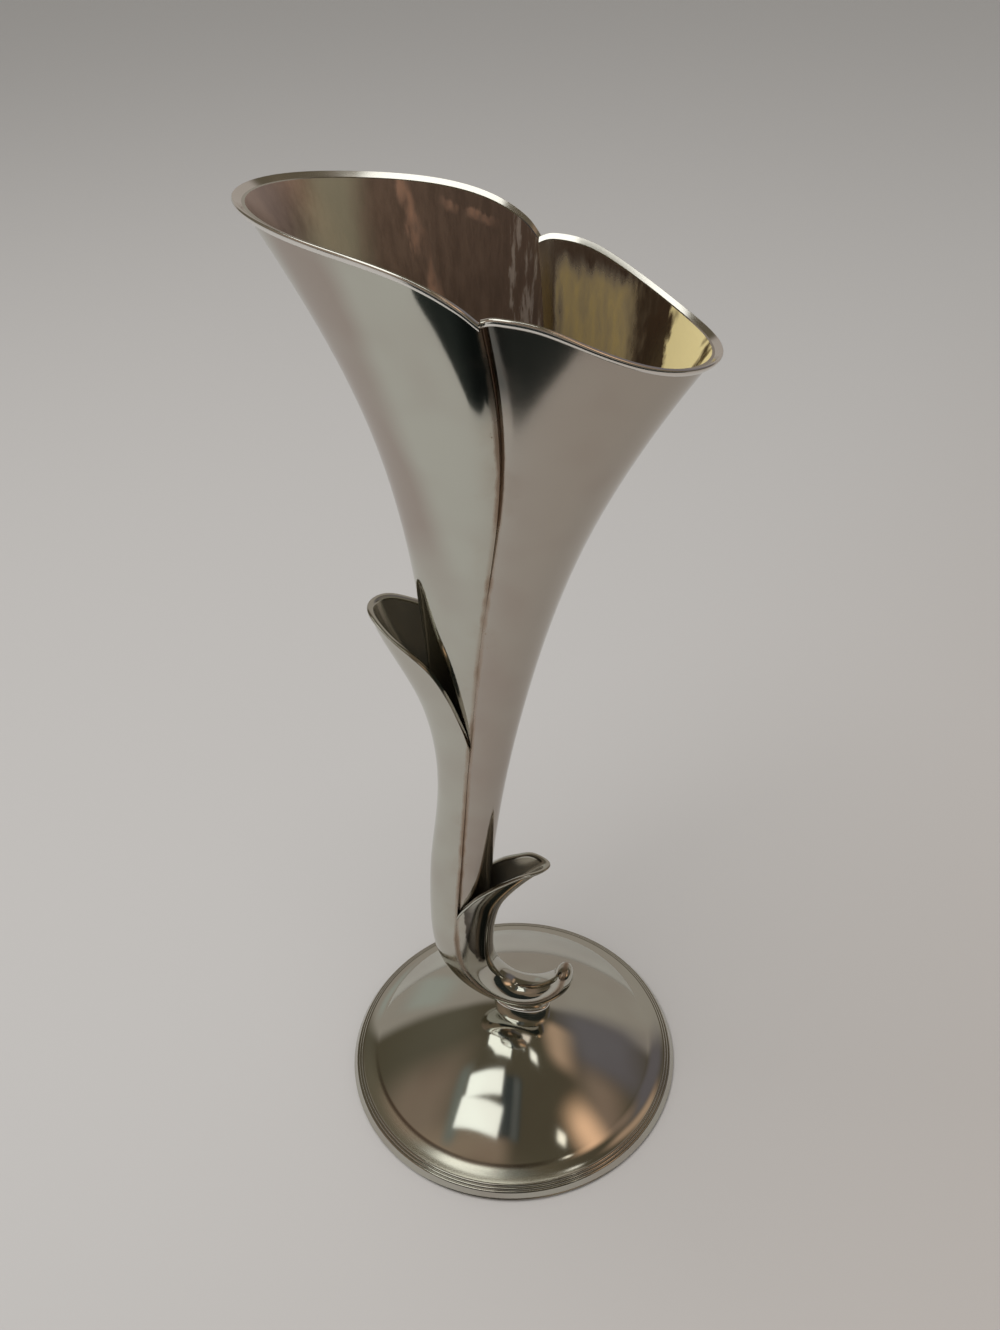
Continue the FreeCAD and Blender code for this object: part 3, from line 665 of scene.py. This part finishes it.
def silver_outside(name, creased, dents=1.0, filmed=0.5, base="silver", soft=0.0, band=0.0,
                   margin=0.0, patch=0.0):
    """Polished silver with a patchy film and fine scratches, and tarnish where a crease is near.
    Close to the mouth a dark strip along the crease is painted shade.
    Outside a band's radius, on the front only, it is rougher and paler: the rougher finish is real,
    the paler tone is a painted reflection, and a dark line along the band's inner edge is painted
    shade. margin weighs the film on the high petal's left, patch weighs a painted dark reflection
    inside the scroll."""
    finish = Finish(name)
    tones = bpy.context.scene.vase_finish
    where = finish.place()
    x, y, z = finish.split(where)
    fine = finish.noise(where, 2600.0, 4.0)
    broad = finish.noise(where, 60.0, 2.0)
    pits = finish.ramp(finish.noise(where, 1400.0, 4.0, 0.6), 0.66, 0.72)
    film = finish.ramp(broad, 0.35, 0.70) * 0.35 + filmed
    if margin:
        inward = x + 0.011 + (z - 0.085) * 0.24
        high = finish.ramp(z, 0.110, 0.132) * margin
        film = film + finish.within(inward, 0.004, 0.010, 0.014, 0.019) * high
    mask = pits * 0.10
    if creased:
        gap = finish.stored("crease")
        ragged = gap + (finish.noise(where, 500.0, 4.0, 0.6) - 0.5) * 0.6
        core = finish.ramp(finish.noise(where, 90.0, 2.0), 0.4, 0.6) * 0.4 + 0.4
        near = finish.ramp(finish.noise(where, 140.0, 3.0), 0.50, 0.62)
        near = (1 - finish.ramp(gap, 0.6, 4.0)) * near
        specks = finish.noise(where, 1100.0, 4.0, 0.7) * 0.22 + pits * 0.55
        mask = finish.calc("MAXIMUM", (1 - finish.ramp(ragged, 0.15, 0.75)) * core, near * specks)
    tone = finish.blend(film, getattr(tones, base), tones.film)
    rough = 0.05 + soft + fine * 0.03 + film * 0.05 + mask * 0.40
    if creased:
        # Painted shade: a dark strip along the crease close to the mouth, fading out a few mm from
        # it
        shade = finish.ramp(z + (broad - 0.5) * 0.01, 0.144, 0.151)
        shade = shade * (1 - finish.ramp(gap, 1.2, 3.4))
        tone = finish.blend(shade * 0.85, tone, (0.085, 0.090, 0.085))
    if patch:
        # Painted dark reflection: a ragged dark area on the inner side of the scroll
        torn = (finish.noise(where, 650.0, 4.0, 0.65) - 0.5) * 0.0018
        inner = x + torn + 0.0051 + finish.ramp(z, 0.030, 0.037) * 0.0018
        painted_dark_reflection = finish.ramp(inner, 0.0, 0.0003) * finish.ramp(z + torn, 0.0300, 0.0307)
        painted_dark_reflection = painted_dark_reflection * (1 - finish.ramp(z, 0.045, 0.050))
        weight = painted_dark_reflection * (1 - finish.ramp(inner, 0.0005, 0.0018) * 0.35) * patch
        tone = finish.blend(weight, tone, (0.085, 0.075, 0.065))
    if band:
        reach = (x * x + y * y) ** 0.5
        # Rougher finish outside the band's radius and, on the front only, a paler tone that is a
        # painted reflection
        satin_and_reflection = finish.ramp(reach, band, band + 0.0004)
        satin_and_reflection = satin_and_reflection * (1 - finish.ramp(y + x * 0.3, -0.026, -0.014))
        # Painted shade: a dark line along the band's inner edge, on the front only
        line = satin_and_reflection * (1 - finish.ramp(reach, band + 0.0005, band + 0.0011))
        tone = finish.blend(satin_and_reflection, tone, (0.70, 0.68, 0.58))
        tone = finish.blend(line * 0.8, tone, scaled(tones.tarnish, 0.3))
        rough = rough + satin_and_reflection * 0.16
    tone = finish.blend(mask, tone, tones.tarnish)
    waves = finish.noise(where, 45.0, 1.0, 0.4) * 0.7 + finish.noise(where, 160.0, 1.0, 0.4) * 0.12
    scratches = finish.noise(finish.place((900, 900, 60)), 3.0, 3.0, 0.6)
    normal = finish.bump(waves + scratches * 0.012, 0.00006 * dents)
    return finish.surface(Base_Color=tone, Metallic=1.0, Roughness=rough, Normal=normal)


def silver_inside(name, low):
    """The inside of a petal, brushed down its length: a straw film in the low petal, and umber with
    copper showing through in the high one. There the copper's thin bands are partly painted
    highlights, and its far left is paler with a painted reflection."""
    finish = Finish(name)
    tones = bpy.context.scene.vase_finish
    x, _, z = finish.split(finish.place())
    streaks = finish.noise(finish.place((900, 900, 45)), 1.0, 4.0, 0.65)
    patches = finish.noise(finish.place((260, 260, 60)), 1.0, 3.0, 0.6)
    ragged = (patches - 0.5) * 0.006 + (streaks - 0.5) * 0.004
    if low:
        mask = 1 - finish.ramp(z + x * 0.18 + ragged, 0.157, 0.160)
        mask = mask * finish.ramp(x + ragged * 0.5, 0.006, 0.008)
        fade = finish.ramp(x + ragged, 0.0155, 0.0195)
        mask = mask * (1 - fade * 0.9) * (0.30 + streaks * 0.85)
        tip = finish.ramp(x + ragged, 0.0215, 0.0228) * finish.ramp(patches, 0.30, 0.48)
        film = finish.calc("MAXIMUM", mask, tip)
        tone = finish.blend(fade, (0.42, 0.38, 0.33), (0.20, 0.16, 0.12))
        tone = finish.blend(mask, tone, tones.straw)
        tone = finish.blend(tip, tone, (0.86, 0.73, 0.37))
        rough, metal = 0.18 + film * 0.26, 1 - film * 0.85
    else:
        lean = x + (z - 0.165) * 0.12 + ragged * 0.3
        stripe = finish.within(lean, -0.0265, -0.0225, -0.0210, -0.0165)
        # Thin copper bands across the petal and just below the rim: partly the inside's own copper,
        # partly painted highlights
        slant = x + z * 0.30 + ragged * 0.6
        copper_and_highlight = finish.within(slant, 0.0345, 0.0356, 0.0360, 0.0374)
        depth = 0.1656 - (x + 0.0063) * 0.34 - z + ragged * 0.4
        hook = finish.within(depth, 0.0020, 0.0026, 0.0030, 0.0038)
        hook = hook * finish.within(x, -0.0095, -0.0075, -0.0030, -0.0010)
        copper_and_highlight = finish.calc("MAXIMUM", copper_and_highlight, hook) * finish.ramp(patches, 0.34, 0.56)
        glint = finish.ramp(x + ragged * 0.4, -0.0010, 0.0002) * finish.ramp(streaks, 0.5, 0.62)
        # Painted reflection: the far left of the high petal's inside is paler and less metallic
        pale = 1 - finish.ramp(x, -0.029, -0.023)
        tone = finish.blend(finish.ramp(streaks, 0.3, 0.7), scaled(tones.umber, 0.95),
                            scaled(tones.umber, 1.3))
        for weight, other in ((pale * 0.6, (0.50, 0.38, 0.33)), (stripe * 0.75, (0.46, 0.43, 0.30)),
                              (copper_and_highlight * 0.8, tones.copper), (glint * 0.6, tones.wire)):
            tone = finish.blend(weight, tone, other)
        rough = 0.28 + streaks * 0.10
        metal = 0.78 - copper_and_highlight * 0.5 - stripe * 0.3 - pale * 0.2
    normal = finish.bump(streaks, 0.00003)
    return finish.surface(Base_Color=tone, Metallic=metal, Roughness=rough, Normal=normal)


def plain_finish(name, tone, metallic, rough, grain, depth):
    """A finish for the fixings and fillings: a toned grain with a little relief."""
    finish = Finish(name)
    speckle = finish.noise(finish.place(), grain, 4.0, 0.6)
    shade = finish.blend(speckle, scaled(tone, 0.75), scaled(tone, 1.2))
    return finish.surface(Base_Color=shade, Metallic=metallic, Roughness=rough + speckle * 0.12,
                          Normal=finish.bump(speckle, depth))


def scaled(tone, share):
    """A colour made darker or lighter."""
    return [min(part * share, 1) for part in tone]


def material(name, maker, *values, **named):
    """A finish made once and shared."""
    return bpy.data.materials.get(name) or maker(name, *values, **named)


# Operators

class VASE_OT_petals(bpy.types.Operator):
    """Builds the two petals of the trumpet and the wire along their mouths"""
    bl_idname = "vase.petals"
    bl_label = "Petals"

    def execute(self, context):
        sizes = context.scene.vase_sizes
        shares = PETAL_SHARES[:, 0]
        line = np.stack([across(PETAL_SHARES[:, 1]), height(shares)], -1)
        line = smooth(shares, line)(np.linspace(shares[0], shares[-1], 200))
        wire = material("silver_wire", silver_outside, False, dents=0.3, filmed=0.15, base="wire",
                        soft=0.03)
        for side, name in enumerate(("left", "right")):
            lobe = petal_lobe(side)
            low = (LEFT_PETAL_FOOT_SHARE, RIGHT_PETAL_FOOT_SHARE)[side]
            edge = edge_line((LEFT_MOUTH_SHARES, RIGHT_MOUTH_SHARES)[side])
            petal = petal_piece(f"petal_{name}", lobe, low, edge, sizes.petal_wall,
                                sizes.rim_height / 2)
            crease_distance(petal, line)
            outside = material(f"silver_outside_{name}", silver_outside, True,
                               filmed=(0.0, 0.65)[side], margin=(0.85, 0.0)[side])
            inside = material(f"silver_inside_{name}", silver_inside, side == 1)
            finished(petal, "silver_sheet", f"{name}_petal", materials=(outside, inside))
            rim = bead_piece(f"rim_{name}", lobe, low, edge, sizes.petal_wall, sizes.rim_height,
                             sizes.rim_proud, RIM_COLUMNS, LIP_SLANT)
            finished(rim, "silver_wire", f"{name}_rim", materials=(wire,))
        return {"FINISHED"}


class VASE_OT_leaves(bpy.types.Operator):
    """Builds the two leaves, their thickened edges and the nose in which they end"""
    bl_idname = "vase.leaves"
    bl_label = "Leaves and scroll"

    def execute(self, context):
        sizes = context.scene.vase_sizes
        inside = material("silver_leaf_inside", plain_finish, (0.38, 0.35, 0.28), metallic=0.8,
                          rough=0.14, grain=160.0, depth=0.00001)
        wire = material("silver_leaf_edge", silver_outside, False, dents=0.3, filmed=0.0, soft=0.04)
        for side, name in enumerate(("left", "right")):
            lobe, level = leaf_lobe(side)
            edge = edge_line((LEFT_LEAF_EDGE_SHARES, RIGHT_LEAF_EDGE_SHARES)[side])
            piece = leaf_piece(f"leaf_{name}", lobe, level, edge, sizes.leaf_wall,
                               sizes.edge_height / 2, LEAF_ROWS[side])
            stations = lobe.stations(np.linspace(lobe.places[0], lobe.places[-1], 300))
            crease_distance(piece, stations[:, :2])
            nodes = (f"{name}_leaf", "scroll_nose") if side == 0 else (f"{name}_leaf",)
            # The right leaf gets the painted dark reflection inside the scroll
            leaf = material(f"silver_leaf_{name}", silver_outside, True,
                            filmed=(0.05, 0.2)[side], patch=(0.0, 0.95)[side])
            finished(piece, "silver_sheet", *nodes, materials=(leaf, inside))
            bead = bead_piece(f"leaf_edge_{name}", lobe, level, edge, sizes.leaf_wall,
                              sizes.edge_height, sizes.edge_proud, LEAF_EDGE_COLUMNS)
            finished(bead, "silver_wire", f"{name}_leaf_edge", materials=(wire,))
        return {"FINISHED"}


class VASE_OT_foot(bpy.types.Operator):
    """Builds the foot's dome and reeded wire, and gives the hidden pieces their finishes"""
    bl_idname = "vase.foot"
    bl_label = "Foot"

    def execute(self, context):
        sizes = context.scene.foot_sizes
        slope = sizes.foot_radius - sizes.reed_zone
        self.dome(sizes, slope)
        self.wire(sizes, slope)
        self.collar(context)
        self.hidden(context)
        return {"FINISHED"}

    def dome(self, sizes, slope):
        """The dome: a hollow moulding, the flank and the crown, and their inside."""
        top, wall = sizes.dome_height, sizes.dome_wall
        cavetto = (slope - sizes.cavetto_width, sizes.cavetto_height)
        cap_z = top - sizes.cap_round + math.sqrt(sizes.cap_round ** 2 - sizes.cap_reach ** 2)
        crown, foot = (sizes.cap_reach, cap_z), (slope, sizes.rim_top)
        outline = [(slope - wall, sizes.ledge_height), (slope, sizes.ledge_height), foot]
        outline += arc(foot, cavetto, sizes.cavetto_round, 1, 20)
        outline += arc(cavetto, crown, sizes.flank_round, -1, 60)
        outline += arc(crown, (0, top), sizes.cap_round, -1, 30)[:-1] + [(0, top)]
        outline += [(0, top - wall), (sizes.cap_reach, cap_z - wall),
                    (cavetto[0] - wall / 2, cavetto[1] - wall)]
        # The dome's cavetto gets, on its front, a painted reflection and a painted shade line
        silver = material("silver_foot", silver_outside, False, filmed=0.0, band=cavetto[0])
        dome = spun("dome", outline)
        finished(dome, "silver_sheet", "foot_dome", materials=(silver,))

    def wire(self, sizes, slope):
        """The wire round the foot: a plain edge and the reeds above it."""
        step_in = (sizes.reed_zone - sizes.band_lean) / REED_COUNT
        step_up = (sizes.rim_top - sizes.band_height) / REED_COUNT
        radius, low, corner = sizes.foot_radius, sizes.pad_lift, sizes.edge_round
        rim = [(radius - sizes.band_width, low), (radius - corner, low)]
        rim += arc(rim[-1], (radius, low + corner), corner, -1, 6)
        rim += [(radius - sizes.band_lean, sizes.band_height)]
        for _ in range(REED_COUNT):
            start = rim[-1]
            rim += arc(start, (start[0] - step_in, start[1] + step_up), sizes.bead_round, -1, 10)
        rim += [(slope, sizes.ledge_height), (radius - sizes.band_width, sizes.ledge_height)]
        band = spun("foot_wire", rim)
        silver = material("silver_foot_wire", silver_outside, False, dents=0.3, filmed=0.2)
        finished(band, "silver_wire", "foot_rim", materials=(silver,))

    def collar(self, context):
        """The oval collar under the scroll."""
        sizes = context.scene.foot_sizes
        start_clean()
        bpy.ops.mesh.primitive_cylinder_add(
            vertices=COLLAR_STEPS, radius=1, depth=1, end_fill_type="NGON",
            location=(sizes.saddle_offset, 0, sizes.saddle_middle),
            scale=(sizes.saddle_length / 2, sizes.saddle_width / 2, sizes.saddle_height))
        piece = context.active_object
        piece.name = piece.data.name = "collar"
        bpy.ops.object.transform_apply(location=True, rotation=True, scale=True)
        modifier = piece.modifiers.new("soft", "BEVEL")
        modifier.width, modifier.segments, modifier.limit_method = sizes.saddle_soft, 4, "ANGLE"
        bpy.ops.object.modifier_apply(modifier=modifier.name)
        bpy.ops.object.shade_smooth_by_angle(angle=SMOOTH_ANGLE)
        finished(piece, "silver_cast", "scroll_saddle",
                 materials=(material("silver_cast", silver_outside, False),))

    def hidden(self, context):
        """Finishes of the pieces that stay as they are."""
        tones = context.scene.vase_finish
        brass = material("brass_fixing", plain_finish, tones.brass, 1.0, 0.25, 1800.0, 0.00002)
        tin = material("tinned_iron", plain_finish, tones.iron, 1.0, 0.3, 900.0, 0.00002)
        for name, finish in (
            ("foot_stud", brass), ("foot_washer", brass), ("foot_nut", brass),
            ("foot_loading", material("pitch", plain_finish, tones.pitch, 0.0, 0.5, 400.0, 0.0002)),
            ("base_plate", tin),
            ("felt_pad", material("baize", plain_finish, tones.baize, 0.0, 0.85, 2500.0, 0.0003)),
            ("stem_plug", material("silver_plug", silver_outside, False)),
        ):
            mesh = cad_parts[name].data
            mesh.materials.clear()
            mesh.materials.append(finish)


def mirrored_only(piece, glowing):
    """Gives a piece its glow and leaves it to be seen in reflections only."""
    piece.data.materials.append(glowing)
    for kind in ("camera", "diffuse", "transmission", "volume_scatter", "shadow"):
        setattr(piece, f"visible_{kind}", False)


class VASE_OT_stage(bpy.types.Operator):
    """Builds the floor, what the silver mirrors, the lamp and the camera"""
    bl_idname = "vase.stage"
    bl_label = "Stage"

    def execute(self, context):
        stage = context.scene.vase_stage
        self.floor(stage)
        self.tent()
        self.cards(stage)
        self.world(stage)
        self.lamp(place=(-0.18, -0.14, 0.85), aim=(0, 0, 0.03), side=0.60, power=4.8)
        self.camera(context, stage)
        context.scene.view_settings.view_transform = "Standard"
        return {"FINISHED"}

    def floor(self, stage):
        """A pale sheet that darkens to the right, in painted shade that stands in for the lamp's
        falloff.
        """
        start_clean()
        bpy.ops.mesh.primitive_plane_add(size=40, location=(0, 0, 0))
        floor = bpy.context.active_object
        floor.name = floor.data.name = "floor"
        finish = Finish("table_sheet")
        spot = finish.split(finish.place(turn=(0, 0, math.radians(20))))[0]
        # Painted shade: the tone darkens towards the right
        tone = finish.blend(finish.ramp(spot, -0.08, 0.24), stage.floor, stage.floor_painted_shade)
        floor.data.materials.append(finish.surface(Base_Color=tone, Roughness=0.9))

    def tent(self):
        """The studio as the silver mirrors it: dark room, two window panes, a warm lamp and the
        pale backdrop. Its plan gives degrees from the zenith, to the right and to the back."""
        start_clean()
        bpy.ops.mesh.primitive_uv_sphere_add(
            segments=64, ring_count=32, radius=3.0, location=(0, 0, 0))
        tent = bpy.context.active_object
        tent.name = tent.data.name = "tent"
        finish = Finish("tent_cloth")
        ray = finish.node("ShaderNodeVectorMath", {"operation": "NORMALIZE"}, finish.place())
        x, y, z = finish.split(ray)
        level = (x * x + y * y + 1e-6) ** 0.5
        zenith = finish.calc("ARCCOSINE", z) * (180 / math.pi)
        right, back = zenith * x / level, zenith * y / level

        def pane(centre, half, soft, turn=0.0):
            """1 inside a box of the plan, fading over soft degrees."""
            c, s = math.cos(math.radians(turn)), math.sin(math.radians(turn))
            u = (right - centre[0]) * c + (back - centre[1]) * s
            v = (back - centre[1]) * c - (right - centre[0]) * s
            wide, tall = (
                1 - finish.ramp(finish.calc("ABSOLUTE", axis), reach - soft, reach + soft)
                for axis, reach in ((u, half[0]), (v, half[1])))
            return wide * tall

        tone = (0.105, 0.088, 0.060)
        for mask, shade in (
            (1 - finish.ramp(back + right * 0.1, -62, -30), (0.24, 0.185, 0.14)),
            (pane((-50, 5), (14, 40), 14), (0.13, 0.115, 0.085)),
            (pane((-48, -22), (17, 20), 12), (0.27, 0.205, 0.16)),
            (1 - finish.ramp(back, -88, -70), (0.05, 0.045, 0.04)),
            (finish.ramp(back - right * 0.15, 36, 46), (0.38, 0.34, 0.305)),
            (pane((-22, -37), (26, 7), 6), (0.32, 0.24, 0.18)),
            (pane((-58, 52), (7, 12), 5, -15), (0.40, 0.41, 0.38)),
            (pane((42, 34), (14, 18), 9, 20), (0.17, 0.155, 0.17)),
            (pane((27, 18), (5, 12), 5, 10), (0.55, 0.38, 0.27)),
            (pane((48, 0), (8, 16), 8, 12), (0.30, 0.22, 0.17)),
            (pane((45, -14), (11, 7), 7, -30), (1.25, 0.80, 0.52)),
            (pane((3, -22), (6, 10), 1.5, 5), (0.05, 0.058, 0.058)),
            (pane((6, -22), (2, 10), 1.5, 5), (0.13, 0.135, 0.13)),
            (pane((-28, -22), (3, 13), 3), (0.20, 0.21, 0.19)),
            (pane((-14, -16), (10.5, 4.2), 0.8, 4), (1.5, 1.52, 1.46)),
            (pane((-14, -26.5), (12.5, 5.0), 0.8, -7), (1.5, 1.52, 1.46)),
            (pane((31, -22), (2, 2), 1), (1.8, 1.7, 1.5)),
            (pane((15, 0), (2, 2), 1), (1.5, 1.45, 1.35)),
            (pane((8, 8), (3.5, 3), 1.5), (1.0, 0.88, 0.78)),
        ):
            tone = finish.blend(mask, tone, shade)
        mirrored_only(tent, finish.glow(tone))

    def card(self, name, corners, rings, dark, light):
        """A flat card of rings of corners, toned between two colours."""
        mesh = bpy.data.meshes.new(name)
        mesh.from_pydata(corners, [], rings)
        card = bpy.data.objects.new(name, mesh)
        bpy.context.collection.objects.link(card)
        finish = Finish(name)
        tone = finish.blend(finish.noise(finish.place(), 12.0, 2.0), dark, light)
        mirrored_only(card, finish.glow(tone))
        return card

    def cards(self, stage):
        """A dark card under the lens, another far to the left, and a white one over the mouth. All
        glow and are seen in reflections only; the white one glows brighter than white, a painted
        light that only the silver mirrors.
        """
        near = [(-0.19, 0.001), (-0.10, 0.002), (-0.05, 0.020), (0.0, 0.039), (0.04, 0.038),
                (0.10, 0.018), (0.17, 0.003), (0.40, 0.003), (0.40, 0.13), (-0.12, 0.13),
                (-0.15, 0.06), (-0.19, 0.03)]
        aside = [(-0.60, 0.03), (-0.32, 0.03), (-0.32, 0.13), (-0.60, 0.13)]
        rings = [list(range(len(near))), list(range(len(near), len(near) + len(aside)))]
        board = self.card("dark_card", [(x, 0, z) for x, z in near + aside], rings,
                          (0.010, 0.013, 0.013), (0.035, 0.040, 0.036))
        board.location = (stage.camera_place[0], stage.camera_place[1], 0)
        board.rotation_euler = (0, 0, stage.camera_turn)
        over = [(-0.060, -0.044), (-0.002, -0.044), (0.002, -0.014), (0.050, -0.012),
                (0.050, 0.008), (0.000, 0.012), (-0.050, 0.035), (-0.110, 0.045), (-0.110, -0.020)]
        self.card("white_card", [(x, y, 0.30) for x, y in over], [list(range(len(over)))],
                  (1.35, 1.35, 1.26), (1.5, 1.5, 1.4))

    def world(self, stage):
        """An even background."""
        world = bpy.data.worlds.new("studio")
        bpy.context.scene.world = world
        world.use_nodes = True
        background = world.node_tree.nodes["Background"]
        background.inputs["Color"].default_value = (*stage.far, 1)
        background.inputs["Strength"].default_value = 1.15

    def lamp(self, place, aim, side, power):
        """The soft window light from the upper left, which the silver doesn't mirror."""
        data = bpy.data.lights.new("window_light", "AREA")
        data.shape, data.size, data.size_y, data.energy = "RECTANGLE", side, side, power
        lamp = bpy.data.objects.new("window_light", data)
        bpy.context.collection.objects.link(lamp)
        lamp.location = place
        lamp.rotation_euler = (Vector(aim) - Vector(place)).to_track_quat("-Z", "Y").to_euler()
        lamp.visible_glossy = False

    def camera(self, context, stage):
        """The camera, above and in front of the vase."""
        data = bpy.data.cameras.new("camera")
        data.sensor_fit, data.sensor_width, data.lens = "HORIZONTAL", 36, stage.lens
        data.clip_start, data.clip_end = 0.01, 20
        camera = bpy.data.objects.new("camera", data)
        context.collection.objects.link(camera)
        turned = Matrix.Rotation(stage.camera_turn, 4, "Z")
        for angle, axis in ((math.pi / 2 - stage.camera_dip, "X"), (-stage.camera_roll, "Z")):
            turned = turned @ Matrix.Rotation(angle, 4, axis)
        camera.matrix_world = Matrix.Translation(stage.camera_place) @ turned
        context.scene.camera = camera


class VASE_PT_panel(bpy.types.Panel):
    """Sizes, colours and buttons"""
    bl_label = "Trumpet vase"
    bl_idname = "VASE_PT_panel"
    bl_space_type = "VIEW_3D"
    bl_region_type = "UI"
    bl_category = "Vase"

    def draw(self, context):
        for group in GROUPS:
            box = self.layout.box()
            values = getattr(context.scene, group)
            for name in values.bl_rna.properties.keys():
                if name not in ("rna_type", "name"):
                    box.prop(values, name)
        for operator in OPERATORS:
            self.layout.operator(operator.bl_idname)


GROUPS = {"vase_sizes": VaseSizes, "foot_sizes": FootSizes, "vase_finish": VaseFinish,
          "vase_stage": StageSettings}
OPERATORS = (VASE_OT_petals, VASE_OT_leaves, VASE_OT_foot, VASE_OT_stage)
CLASSES = (*GROUPS.values(), *OPERATORS, VASE_PT_panel)


def register():
    for item in CLASSES:
        bpy.utils.register_class(item)
    for name, group in GROUPS.items():
        setattr(bpy.types.Scene, name, bpy.props.PointerProperty(type=group))


def unregister():
    for name in GROUPS:
        delattr(bpy.types.Scene, name)
    for item in reversed(CLASSES):
        bpy.utils.unregister_class(item)


def main():
    register()
    bpy.ops.vase.petals()
    bpy.ops.vase.leaves()
    bpy.ops.vase.foot()
    bpy.ops.vase.stage()
    start_clean()


if __name__ == "__main__":
    main()
